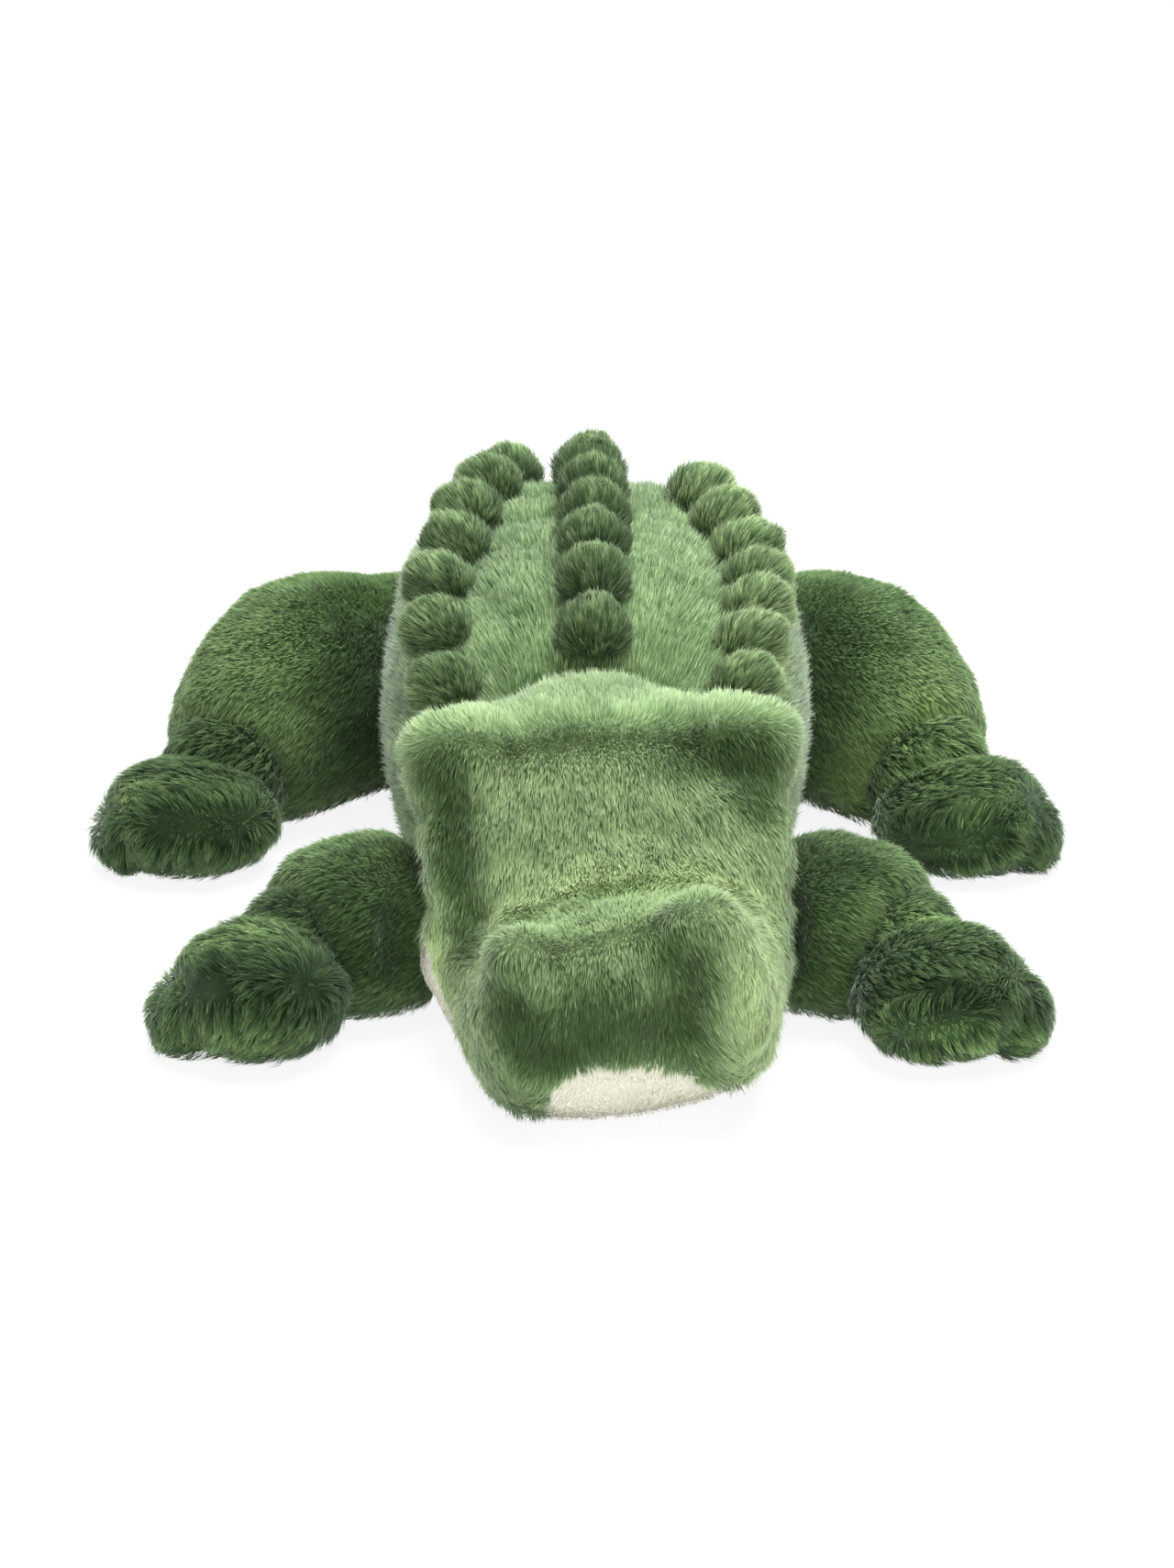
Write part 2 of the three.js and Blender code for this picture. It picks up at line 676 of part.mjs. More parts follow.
function limbForm(root, tip, radius, shares, endRound) {
  const reach = new THREE.Vector3().subVectors(tip, root);
  const stations = shares.map(([out, forward, drop, swell]) => {
    const centre = root.clone().add(new THREE.Vector3(out, forward, drop).multiply(reach));
    const size = swell * radius;
    return { centre, wide: size, up: size, down: Math.min(size, centre.z + restDepth) };
  });
  return stuffedForm(stations, {
    rings: limbRings, sides: limbSides, startRound: endRound, endRound, upright: false,
  });
}

function flexAxis(sign, out, forward) {
  return new THREE.Vector3(sign * out, -forward, 0).normalize().cross(upAxis);
}

// The padded end of a limb, with one small toe on its outer side
function endPad(tip, sign, axis, sizes) {
  const padX = tip.x + sign * sizes.out;
  const padY = tip.y - sizes.forward;
  const padAt = new THREE.Vector3(padX, padY, sizes.halfHeight - restDepth);
  const toeX = padX + sign * sizes.toeOut;
  const toeAt = new THREE.Vector3(toeX, padY - sizes.toeForward, sizes.toeRadius - restDepth);
  const toeSize = new THREE.Vector3(sizes.toeRadius, sizes.toeRadius, sizes.toeRadius);
  const main = pad(padAt, new THREE.Vector3(sizes.halfWidth, sizes.halfLength, sizes.halfHeight));
  const toe = pad(toeAt, toeSize, smallSides, smallRings);
  return main.add(toe).add(ball(tip, sizes.ballRadius, axis, endSides, padRings)).intersect(overFloor);
}

function addFrontLeg(name, sign) {
  const root = shoulderCentre(sign);
  const wrist = new THREE.Vector3(root.x + sign * armReachOut, root.y - armReachForward, wristHeight);
  const axis = flexAxis(sign, pawOut, pawForward);
  const sweep = torsoSweep(root, -sign * armSwingForwardDeg, sign * armSwingBackDeg);
  const whole = limbForm(root, wrist, armRadius, armShares, armEndRound);
  const tube = whole.subtract(sweep).subtract(headSweep(root, sign));
  const arm = tube.add(ball(root, shoulderBallRadius));
  const hollow = socket(wrist, wristBallRadius, axis, endSides, padRings);
  addPiece(`arm_${name}`, arm.intersect(overFloor).subtract(hollow), materials.plush);
  addPiece(`paw_${name}`, endPad(wrist, sign, axis, {
    out: pawOut,
    forward: pawForward,
    halfWidth: pawHalfWidth,
    halfLength: pawHalfLength,
    halfHeight: pawHalfHeight,
    toeOut: pawToeOut,
    toeForward: pawToeForward,
    toeRadius: pawToeRadius,
    ballRadius: wristBallRadius,
  }), materials.longPlush);
}

function addHindLeg(name, sign) {
  const root = hipCentre(sign);
  const ankle = new THREE.Vector3(root.x + sign * thighReachOut, root.y - thighReachForward, ankleHeight);
  const axis = flexAxis(sign, footOut, footForward);
  const sweep = torsoSweep(root, -sign * thighSwingForwardDeg, sign * thighSwingBackDeg);
  const tube = limbForm(root, ankle, thighRadius, thighShares, thighEndRound).subtract(sweep);
  const thigh = tube.add(ball(root, hipBallRadius));
  const hollow = socket(ankle, ankleBallRadius, axis, endSides, padRings);
  addPiece(`thigh_${name}`, thigh.intersect(overFloor).subtract(hollow), materials.plush);
  addPiece(`foot_${name}`, endPad(ankle, sign, axis, {
    out: footOut,
    forward: footForward,
    halfWidth: footHalfWidth,
    halfLength: footHalfLength,
    halfHeight: footHalfHeight,
    toeOut: footToeOut,
    toeForward: footToeForward,
    toeRadius: footToeRadius,
    ballRadius: ankleBallRadius,
  }), materials.longPlush);
}

// Tail, in two stuffed lengths

function tailStation(share) {
  const radius = tailRadius + (tailTipRadius - tailRadius) * share;
  const centreZ = Math.max(radius - restDepth, tailRootHeight - tailRootDrop * share);
  const x = tailCentre.x - tailCurl * share * share;
  return {
    centre: new THREE.Vector3(x, tailCentre.y + share * tailLength, centreZ),
    wide: radius,
    up: radius,
    down: Math.min(radius, centreZ + restDepth),
  };
}

function tailForm(fromShare, toShare, shrink = 0) {
  const stations = [];
  for (let k = 0; k <= tailStations; k += 1) {
    stations.push(tailStation(THREE.MathUtils.lerp(fromShare, toShare, k / tailStations)));
  }
  const endRound = toShare < 1 ? tailJointRound : tailTipRadius;
  return stuffedForm(stations, {
    rings: limbRings, sides: limbSides, startRound: tailJointRound, endRound, upright: false, shrink,
  });
}

function addTail() {
  const bend = tailStation(tailBendShare);
  const bendRadius = bend.wide - tailJointWall;
  const tube = tailForm(0, tailBendShare).subtract(torsoSweep(tailCentre, -tailSwingDeg, tailSwingDeg));
  const base = tube.add(ball(tailCentre, tailBallRadius)).intersect(overFloor);
  const hollow = socket(bend.centre, bendRadius, upAxis, limbSides, padRings);
  addPiece('tail_base', base.subtract(hollow), materials.plush);
  const tip = tailForm(tailBendShare, 1).add(ball(bend.centre, bendRadius, upAxis, limbSides, padRings));
  addPiece('tail_tip', tip.intersect(overFloor), materials.plush);
}

// Tufts in three rows down the back, and one row along the tail

function surfaceBelow(mesh, x, y) {
  const ray = new THREE.Raycaster(new THREE.Vector3(x, y, spanZ), new THREE.Vector3(0, 0, -1));
  const hit = ray.intersectObject(mesh)[0];
  return { point: hit.point, normal: hit.face.normal.clone() };
}

function addTuft(name, surface, carrier, x, y, scaleShare) {
  const { point, normal } = surfaceBelow(surface, x, y);
  const size = new THREE.Vector3(tuftHalfWidth, tuftHalfThickness, tuftHalfHeight).multiplyScalar(scaleShare);
  const geometry = padGeometry(new THREE.Vector3(0, 0, tuftRise * scaleShare), size, smallSides, smallRings);
  const lean = new THREE.Vector3(normal.x, 0, normal.z).normalize();
  geometry.applyQuaternion(new THREE.Quaternion().setFromUnitVectors(upAxis, lean));
  geometry.translate(point.x, point.y, point.z);
  addPiece(name, solidOf(geometry).subtract(carrier), materials.longPlush);
}

function addBackTufts() {
  const surface = new THREE.Mesh(geometryOf(torsoOuter));
  const carrier = torsoForm(-seamGap);
  const centreShares = leftRowShares.map(() => 0);
  const mirroredShares = rightRowShares.map((share) => -share);
  const rows = {
    centre: { span: centreRowShares, shares: centreShares },
    left: { span: leftRowSpanShares, shares: leftRowShares },
    right: { span: rightRowSpanShares, shares: mirroredShares },
  };
  for (const [rowName, { span, shares }] of Object.entries(rows)) {
    shares.forEach((share, k) => {
      const along = torsoLength * THREE.MathUtils.lerp(span[0], span[1], k / (shares.length - 1));
      const x = bendAt(along / torsoLength) + share * sideTuftOut;
      addTuft(`tuft_${rowName}_${k + 1}`, surface, carrier, x, torsoFrontY + along, 1);
    });
  }
}

function addTailTufts() {
  const lengths = [[0, tailBendShare], [tailBendShare, 1]];
  const carriers = lengths.map(([from, to]) => tailForm(from, to, -seamGap));
  const surfaces = lengths.map(([from, to]) => new THREE.Mesh(geometryOf(tailForm(from, to))));
  tailTuftShares.forEach(([along, size], k) => {
    const segment = along < tailBendShare ? 0 : 1;
    const place = tailStation(along).centre;
    addTuft(`tuft_tail_${k + 1}`, surfaces[segment], carriers[segment], place.x, place.y, size);
  });
}

addTorso();
addHead();
for (const [name, sign] of Object.entries(sideNames)) {
  addFrontLeg(name, sign);
  addHindLeg(name, sign);
}
addTail();
addBackTufts();
addTailTufts();

export default crocodile;
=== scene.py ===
# Plush crocodile: skins, pile, tufts, filling, eyes, floor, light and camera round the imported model
import json
import math
import bmesh
import bpy
import numpy as np
from mathutils import Matrix, Vector
from mathutils.bvhtree import BVHTree


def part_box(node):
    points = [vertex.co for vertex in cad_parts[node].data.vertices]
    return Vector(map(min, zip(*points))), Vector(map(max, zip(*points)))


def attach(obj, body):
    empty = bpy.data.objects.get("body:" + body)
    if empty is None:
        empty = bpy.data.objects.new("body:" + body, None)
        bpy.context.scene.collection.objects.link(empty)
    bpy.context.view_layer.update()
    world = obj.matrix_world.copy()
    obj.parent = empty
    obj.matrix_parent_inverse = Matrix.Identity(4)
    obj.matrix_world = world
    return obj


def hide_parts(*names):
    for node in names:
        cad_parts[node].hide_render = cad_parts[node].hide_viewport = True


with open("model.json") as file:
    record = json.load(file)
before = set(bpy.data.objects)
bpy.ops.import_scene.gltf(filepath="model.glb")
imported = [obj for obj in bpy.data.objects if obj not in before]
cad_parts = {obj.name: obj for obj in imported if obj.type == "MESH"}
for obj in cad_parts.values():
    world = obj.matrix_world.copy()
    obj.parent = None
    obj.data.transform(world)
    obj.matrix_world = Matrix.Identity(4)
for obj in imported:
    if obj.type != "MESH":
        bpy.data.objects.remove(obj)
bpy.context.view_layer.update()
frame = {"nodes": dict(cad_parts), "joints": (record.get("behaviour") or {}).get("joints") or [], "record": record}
nodes = frame["nodes"]
scene = bpy.context.scene
MM = 0.001

# Places that the cloth and pile follow, in millimetres
neck_centre = np.array([2.0, -82.0, 53.0])
neck_height = np.array([0, 0, neck_centre[2]])
head_yaw = math.radians(6)
snout_twist = math.radians(9)
snout_axis_height = 30.0
torso_seam_height = 22.15
chest_front_y = -86.0
jaw_seam_height = 21.0
head_reach = 115.0
chin_length = 40.0
chin_half_width = 29.5
chin_height = 27.0
neck_ball_radius = 40.0
cheek_patch_y = -57.0
cheek_patch_width = 13.0
cheek_patch_rise = 18.0
cloth_thickness = 1.8

# Heights that nothing reaches below, in millimetres: skins, the face, the pile and its roots
skin_floor = 0.1
face_floor = 0.4
strand_floor = 0.35
root_floor = 0.3

# How many of the pile's strands are laid
pile_share = 1.0

# Each cloth's pile. density: strands to a square millimetre. length, width: of a strand, in millimetres.
# lean: a strand's lean from straight out of the cloth at its root, bend: what its tip leans more, in radians.
# clump: a lock's size in millimetres. gather: how far a lock's tips draw together. spread: how far strands stray
# from the nap. lift: how far strands that run forwards on top stand up. lock_tone: how far locks differ in tone.
back_pile = dict(density=3.1, length=6.2, width=0.34, lean=1.1, bend=0.28, clump=2.8, gather=0.2, spread=0.18)
belly_pile = dict(density=0.6, length=3.2, width=0.5, lean=0.6)
head_pile = dict(density=4.6, length=5.8, width=0.29, lean=1.12, bend=0.28, clump=2.4, gather=0.2, spread=0.14,
                 parting_width=9)
chin_pile = dict(density=2.6, length=2.4, width=0.3, lean=0.7, gather=0.15)
limb_pile = dict(density=3.0, length=4.4, width=0.36, lean=1.0, bend=0.35, clump=2.8, gather=0.2, spread=0.18)
pad_pile = dict(density=2.8, length=7.2, width=0.4, lean=0.98, clump=3.2, gather=0.5, spread=0.26, lock_tone=0.2)
tail_pile = dict(density=2.2, length=5.0, width=0.42, lean=0.95, clump=3, gather=0.2, spread=0.2)
tuft_pile = dict(density=4.2, length=6.4, width=0.34, lean=1.12, bend=0.25, clump=2.2, gather=0.35, spread=0.26,
                 lift=0, lock_tone=0.22)

# The seed of each cloth's chance; a cloth with several pieces counts on from it
seeds = {"back": 101, "belly": 102, "head": 103, "chin": 120, "legs": 130, "tail": 150, "tufts": 200}


# Camera

def add_camera():
    """Looks down on the toy from the front; one line of the picture spans line_height at the target"""
    elevation = math.radians(27)
    distance = 1500 * MM
    target = Vector((0, -80 * MM, 60 * MM))
    picture_lines = 1709
    line_height = 0.295 * MM
    camera = bpy.data.cameras.new("photo_view")
    camera.sensor_width = 36
    camera.lens = distance / line_height / picture_lines * camera.sensor_width
    camera.clip_start = 0.05
    camera.clip_end = 20
    holder = bpy.data.objects.new("photo_view", camera)
    holder.location = target + distance * Vector((0, -math.cos(elevation), math.sin(elevation)))
    holder.rotation_euler = (math.pi / 2 - elevation, 0, 0)
    scene.collection.objects.link(holder)
    scene.camera = holder


add_camera()


# Node helpers

def new_material(name, roughness=0.9, sheen=0.0, sheen_tint=(1, 1, 1), specular=0.2, coat=0.0):
    material = bpy.data.materials.new(name)
    material.use_nodes = True
    tree = material.node_tree
    shader = tree.nodes["Principled BSDF"]
    shader.inputs["Roughness"].default_value = roughness
    shader.inputs["Sheen Weight"].default_value = sheen
    shader.inputs["Sheen Roughness"].default_value = 0.5
    shader.inputs["Sheen Tint"].default_value = (*sheen_tint, 1)
    shader.inputs["Specular IOR Level"].default_value = specular
    shader.inputs["Coat Weight"].default_value = coat
    return material, tree, shader


def ramp(tree, stops, source):
    node = tree.nodes.new("ShaderNodeValToRGB")
    elements = node.color_ramp.elements
    while len(elements) < len(stops):
        elements.new(0.5)
    for element, (place, colour) in zip(elements, stops):
        element.position = place
        element.color = (*colour, 1)
    tree.links.new(source, node.inputs["Fac"])
    return node.outputs["Color"]


def mixed(tree, blend_type, factor, first, second):
    node = tree.nodes.new("ShaderNodeMix")
    node.data_type = "RGBA"
    node.blend_type = blend_type
    node.inputs["Factor"].default_value = factor
    tree.links.new(first, node.inputs["A"])
    tree.links.new(second, node.inputs["B"])
    return node.outputs["Result"]


# Plush: the map's U holds a strand's tone, its own with painted light and shade added, its V the way from the
# cloth to the strand's tip
through_share = 0.42


def pile_material(name, along_stops, tone_stops, sheen, sheen_tint):
    material, tree, shader = new_material(name, 0.85, sheen, sheen_tint, 0.15)
    place = tree.nodes.new("ShaderNodeUVMap")
    place.uv_map = "OFBake"
    parts = tree.nodes.new("ShaderNodeSeparateXYZ")
    tree.links.new(place.outputs["UV"], parts.inputs["Vector"])
    along = ramp(tree, along_stops, parts.outputs["Y"])
    tone = ramp(tree, tone_stops, parts.outputs["X"])
    colour = mixed(tree, "MULTIPLY", 1.0, along, tone)
    tree.links.new(colour, shader.inputs["Base Color"])
    through = tree.nodes.new("ShaderNodeBsdfTranslucent")
    tree.links.new(colour, through.inputs["Color"])
    both = tree.nodes.new("ShaderNodeMixShader")
    both.inputs["Fac"].default_value = through_share
    tree.links.new(shader.outputs["BSDF"], both.inputs[1])
    tree.links.new(through.outputs["BSDF"], both.inputs[2])
    tree.links.new(both.outputs["Shader"], tree.nodes["Material Output"].inputs["Surface"])
    return material


# The tone ramp turns pale at its top end: painted sheen where painted light tones the strands up
plush = pile_material(
    "mid_green_plush",
    [(0.0, (0.16, 0.25, 0.1)), (0.4, (0.29, 0.42, 0.19)), (0.75, (0.42, 0.56, 0.3)),
     (1.0, (0.66, 0.75, 0.52))],
    [(0.0, (0.13, 0.2, 0.11)), (0.25, (0.4, 0.5, 0.36)), (0.5, (0.92, 0.95, 0.9)),
     (0.8, (1.25, 1.2, 1.05)), (1.0, (1.5, 1.42, 1.6))],
    0.8, (0.92, 1.0, 0.9))
# The tone ramp reaches far up for the painted light on the rims of paws and feet
long_plush = pile_material(
    "dark_green_long_plush",
    [(0.0, (0.012, 0.03, 0.01)), (0.5, (0.042, 0.09, 0.03)), (0.85, (0.105, 0.18, 0.07)),
     (1.0, (0.38, 0.5, 0.28))],
    [(0.0, (0.2, 0.27, 0.2)), (0.25, (0.5, 0.56, 0.48)), (0.5, (0.9, 0.93, 0.88)),
     (0.78, (1.4, 1.35, 1.2)), (0.9, (2.1, 1.95, 1.8)), (1.0, (2.8, 2.45, 2.4))],
    0.55, (0.8, 1.0, 0.78))
# Painted shade: the body's green plush made darker for the legs
shaded_leg_plush = pile_material(
    "shaded_leg_green_plush",
    [(0.0, (0.05, 0.095, 0.035)), (0.45, (0.12, 0.205, 0.075)), (0.8, (0.22, 0.34, 0.145)),
     (1.0, (0.45, 0.57, 0.32))],
    [(0.0, (0.2, 0.28, 0.2)), (0.25, (0.48, 0.56, 0.45)), (0.5, (0.95, 0.98, 0.9)),
     (0.8, (1.25, 1.22, 1.05)), (1.0, (1.7, 1.6, 1.25))],
    0.6, (0.85, 1.0, 0.82))
tuft_plush = pile_material(
    "tuft_plush",
    [(0.0, (0.03, 0.06, 0.02)), (0.4, (0.11, 0.19, 0.075)), (0.75, (0.28, 0.4, 0.2)),
     (1.0, (0.66, 0.76, 0.52))],
    [(0.0, (0.25, 0.33, 0.25)), (0.25, (0.55, 0.62, 0.52)), (0.5, (1.0, 1.02, 0.95)),
     (0.8, (1.5, 1.45, 1.3)), (1.0, (2.0, 1.85, 1.6))],
    0.4, (0.88, 1.0, 0.84))
cream_plush = pile_material(
    "cream_plush",
    [(0.0, (0.7, 0.68, 0.58)), (0.5, (0.86, 0.85, 0.76)), (1.0, (0.95, 0.95, 0.88))],
    [(0.0, (0.85, 0.85, 0.82)), (0.5, (1.0, 1.0, 0.98)), (1.0, (1.1, 1.1, 1.08))],
    0.3, (1.0, 1.0, 0.95))


def mottled_material(name, dark, light, scale, roughness, bump=0.3):
    material, tree, shader = new_material(name, roughness)
    place = tree.nodes.new("ShaderNodeTexCoord")
    grain = tree.nodes.new("ShaderNodeTexNoise")
    grain.inputs["Scale"].default_value = scale
    grain.inputs["Detail"].default_value = 6
    tree.links.new(place.outputs["Object"], grain.inputs["Vector"])
    tree.links.new(ramp(tree, [(0.3, dark), (0.7, light)], grain.outputs["Fac"]), shader.inputs["Base Color"])
    relief = tree.nodes.new("ShaderNodeBump")
    relief.inputs["Strength"].default_value = bump
    relief.inputs["Distance"].default_value = 0.0006
    tree.links.new(grain.outputs["Fac"], relief.inputs["Height"])
    tree.links.new(relief.outputs["Normal"], shader.inputs["Normal"])
    return material


fibre = mottled_material("fibre_filling", (0.72, 0.71, 0.67), (0.9, 0.9, 0.87), 90, 1.0, 0.8)
pouch_cloth = mottled_material("pellet_pouch_cloth", (0.5, 0.46, 0.37), (0.66, 0.62, 0.52), 400, 0.9)
washer_plastic = mottled_material("washer_plastic", (0.7, 0.7, 0.67), (0.78, 0.78, 0.75), 60, 0.45, 0.05)


def eye_material():
    material, tree, shader = new_material("black_eye_gloss", 0.08, 0.0, (1, 1, 1), 0.6, 0.6)
    place = tree.nodes.new("ShaderNodeTexCoord")
    flecks = tree.nodes.new("ShaderNodeTexNoise")
    flecks.inputs["Scale"].default_value = 900
    tree.links.new(place.outputs["Object"], flecks.inputs["Vector"])
    shade = ramp(tree, [(0.35, (0.004, 0.003, 0.002)), (0.75, (0.016, 0.011, 0.007))], flecks.outputs["Fac"])
    tree.links.new(shade, shader.inputs["Base Color"])
    return material


eye_gloss = eye_material()


# Cloth skins

def merged_copy(name, node_names):
    """A new piece made of the named solids, each one's loose triangles joined"""
    shape = bmesh.new()
    for node_name in node_names:
        part = bmesh.new()
        part.from_mesh(nodes[node_name].data)
        bmesh.ops.remove_doubles(part, verts=part.verts, dist=1e-5)
        joined = bpy.data.meshes.new("joined")
        part.to_mesh(joined)
        part.free()
        shape.from_mesh(joined)
        bpy.data.meshes.remove(joined)
    return piece_of(name, shape)


def piece_of(name, shape):
    mesh = bpy.data.meshes.new(name)
    shape.to_mesh(mesh)
    shape.free()
    piece = bpy.data.objects.new(name, mesh)
    scene.collection.objects.link(piece)
    return piece


def settle(piece):
    """Keeps what the piece's modifiers make as its mesh"""
    shaped = bpy.data.meshes.new_from_object(piece.evaluated_get(bpy.context.evaluated_depsgraph_get()))
    piece.modifiers.clear()
    flat = piece.data
    piece.data = shaped
    bpy.data.meshes.remove(flat)
    piece.data.name = piece.name


def largest_part(piece):
    """Drops all but the largest connected part of a piece's mesh"""
    shape = bmesh.new()
    shape.from_mesh(piece.data)
    unseen = set(shape.verts)
    parts = []
    while unseen:
        start = unseen.pop()
        part, edge_of_part = [start], [start]
        while edge_of_part:
            vert = edge_of_part.pop()
            for edge in vert.link_edges:
                other = edge.other_vert(vert)
                if other in unseen:
                    unseen.discard(other)
                    part.append(other)
                    edge_of_part.append(other)
        parts.append(part)
    parts.sort(key=len)
    spare = [vert for part in parts[:-1] for vert in part]
    bmesh.ops.delete(shape, geom=spare, context="VERTS")
    shape.to_mesh(piece.data)
    shape.free()


def smooth_outside(name, node_names, voxel, rounds):
    """The named solids as one evenly meshed piece with its edges rounded off; voxel in millimetres"""
    piece = merged_copy(name, node_names)
    cloth = piece.modifiers.new("cloth", "REMESH")
    cloth.mode = "VOXEL"
    cloth.voxel_size = voxel * MM
    eased = piece.modifiers.new("eased", "SMOOTH")
    eased.factor = 0.5
    eased.iterations = rounds
    settle(piece)
    return piece


def stuffed_skin(name, node_names, voxel, rounds, swell):
    """The outermost skin of the named solids, swollen by swell millimetres"""
    piece = smooth_outside(name, node_names, voxel, rounds)
    largest_part(piece)
    places, normals = places_and_normals(piece.data)
    places = places + normals * swell
    places[:, 2] = np.maximum(places[:, 2], skin_floor)
    set_places(piece.data, places)
    return piece


def places_and_normals(mesh):
    """Vertex places in millimetres, and vertex normals"""
    places = np.zeros(len(mesh.vertices) * 3, np.float32)
    mesh.vertices.foreach_get("co", places)
    normals = np.zeros(len(mesh.vertices) * 3, np.float32)
    mesh.vertex_normals.foreach_get("vector", normals)
    return places.reshape(-1, 3).astype(float) / MM, normals.reshape(-1, 3).astype(float)


def set_places(mesh, places):
    mesh.vertices.foreach_set("co", (places * MM).astype(np.float32).ravel())
    mesh.update()


def press_along(piece, path, width, depth):
    """Presses a soft crease into a skin along a path of points, in millimetres"""
    path = np.array(path, float)
    places, normals = places_and_normals(piece.data)
    near = distance_to_path(places, path)
    pressed = depth * np.exp(-(near / width) ** 2)
    set_places(piece.data, places - normals * pressed[:, None])


def ease(piece, picked, rounds):
    """Rounds a skin off at the picked vertices"""
    shape = bmesh.new()
    shape.from_mesh(piece.data)
    shape.verts.ensure_lookup_table()
    soft = [shape.verts[index] for index in np.flatnonzero(picked)]
    for _ in range(rounds):
        bmesh.ops.smooth_vert(shape, verts=soft, factor=0.5,
                              use_axis_x=True, use_axis_y=True, use_axis_z=True)
    shape.to_mesh(piece.data)
    shape.free()


def distance_to_path(places, path):
    nearest = np.full(len(places), np.inf)
    for start, end in zip(path[:-1], path[1:]):
        along = end - start
        share = np.clip(((places - start) @ along) / max(along @ along, 1e-9), 0, 1)
        gap = np.linalg.norm(places - (start + share[:, None] * along), axis=1)
        nearest = np.minimum(nearest, gap)
    return nearest


def upright_turn(angle):
    """The matrix of a turn about an upright line, in radians"""
    return np.array([[math.cos(angle), -math.sin(angle), 0], [math.sin(angle), math.cos(angle), 0], [0, 0, 1]])


def to_head(places):
    """Places in the head's own frame, which faces -Y from the neck's centre"""
    moved = places - neck_centre
    return moved @ upright_turn(-head_yaw).T


def from_head(places):
    places = np.atleast_2d(np.array(places, float))
    return places @ upright_turn(head_yaw).T + neck_centre


def head_vectors(vectors):
    return from_head(vectors) - neck_centre


def to_face(places):
    """Places in the head's own frame, with heights from the floor"""
    return to_head(places) + neck_height


def from_face(places):
    return from_head(np.array(places) - neck_height)


def in_jaw(places):
    """Which places lie on the head's cream cloth: low on the jaw, up the right cheek, and the chin's arch"""
    local = to_head(places)
    height = local[:, 2] + neck_centre[2]
    cheek = np.exp(-((local[:, 1] - cheek_patch_y) / cheek_patch_width) ** 2) * (local[:, 0] < 0)
    seam = jaw_seam_height + cheek_patch_rise * cheek
    under_chin = local[:, 1] < -head_reach + chin_length
    low_zone = (local[:, 1] < -neck_ball_radius) & (height < seam) & (local[:, 1] > -head_reach + chin_length)
    lift = snout_axis_height - neck_centre[2]
    across = local[:, 0] * math.cos(snout_twist) + (local[:, 2] - lift) * math.sin(snout_twist)
    rise = local[:, 0] * math.sin(snout_twist) + (local[:, 2] - lift) * math.cos(snout_twist)
    above_floor = rise + lift + neck_centre[2]
    arch = (across / chin_half_width) ** 2 + (above_floor / chin_height) ** 2 < 1
    return low_zone | (arch & under_chin)


def parted(piece, name, wanted):
    """Moves the faces of a skin that wanted() picks into a new piece"""
    shape = bmesh.new()
    shape.from_mesh(piece.data)
    centres = np.array([face.calc_center_median() for face in shape.faces], float).reshape(-1, 3) / MM
    picked = wanted(centres)
    other = shape.copy()
    for half, spare in ((shape, picked), (other, ~picked)):
        half.faces.ensure_lookup_table()
        bmesh.ops.delete(half, geom=[face for face, drop in zip(half.faces, spare) if drop], context="FACES")
    shape.to_mesh(piece.data)
    shape.free()
    return piece_of(name, other)


# Skins, one to each stuffed form
torso_nodes = ["back_panel", "belly_panel", "body_stuffing", "pellet_pouch"]
head_nodes = ["head_cap", "jaw_panel", "head_stuffing", "eye_bump_left", "eye_bump_right", "eye_washer_left",
              "eye_washer_right", "nostril_left", "nostril_right"]
limb_nodes = ["arm_left", "arm_right", "paw_left", "paw_right", "thigh_left", "thigh_right", "foot_left",
              "foot_right", "tail_base", "tail_tip"]
tuft_names = [name for name in nodes if name.startswith("tuft_")]
torso = stuffed_skin("back_plush", torso_nodes, voxel=3.0, rounds=14, swell=0.6)
head = stuffed_skin("head_plush", head_nodes, voxel=2.0, rounds=15, swell=1.1)
skins = {"torso": torso, "head": head}
for node_name in limb_nodes:
    skins[node_name] = stuffed_skin(node_name + "_plush", [node_name], voxel=2.2, rounds=8, swell=0.8)
for node_name in tuft_names:
    skins[node_name] = stuffed_skin(node_name + "_plush", [node_name], voxel=1.3, rounds=6, swell=-0.6)

# Folds where the filling gives, across the right half of the back
front_fold = [(-32, 14, 97), (-20, 10, 100), (-10, 9, 102)]
middle_fold = [(-38, 39, 94), (-24, 35, 99), (-10, 34, 102)]
rear_fold = [(-36, 61, 94), (-24, 58, 98), (-11, 57, 101)]
press_along(torso, middle_fold, width=4.5, depth=2.6)
press_along(torso, rear_fold, width=4.5, depth=2.6)
press_along(torso, front_fold, width=4.0, depth=1.0)


def swell_at(piece, spots):
    """Swells or hollows a skin round places of the head: centre, radii and height, in millimetres"""
    places, normals = places_and_normals(piece.data)
    local = to_face(places)
    for centre, radii, height in spots:
        gap = (((local - np.array(centre)) / np.array(radii)) ** 2).sum(axis=1)
        places = places + normals * (height * np.exp(-gap))[:, None]
    places[:, 2] = np.maximum(places[:, 2], face_floor)
    set_places(piece.data, places)


# The stop between forehead and snout, rounded off over stop_reach millimetres to each side
stop_reach = 17
stop_crease = from_face([(-35, -64, 48), (-23, -63, 53.5), (-8, -62, 57.5), (3, -62, 58.5), (20, -63, 57.5),
                         (36, -64, 53)])
head_places, _ = places_and_normals(head.data)
ease(head, distance_to_path(head_places, stop_crease) < stop_reach, rounds=110)

# The crown's ridge, from bump to bump, where the pile parts
crown_ridge = from_face([(-56, -24, 88), (-28, -24, 90), (0, -23, 93), (28, -24, 91), (57, -24, 88)])

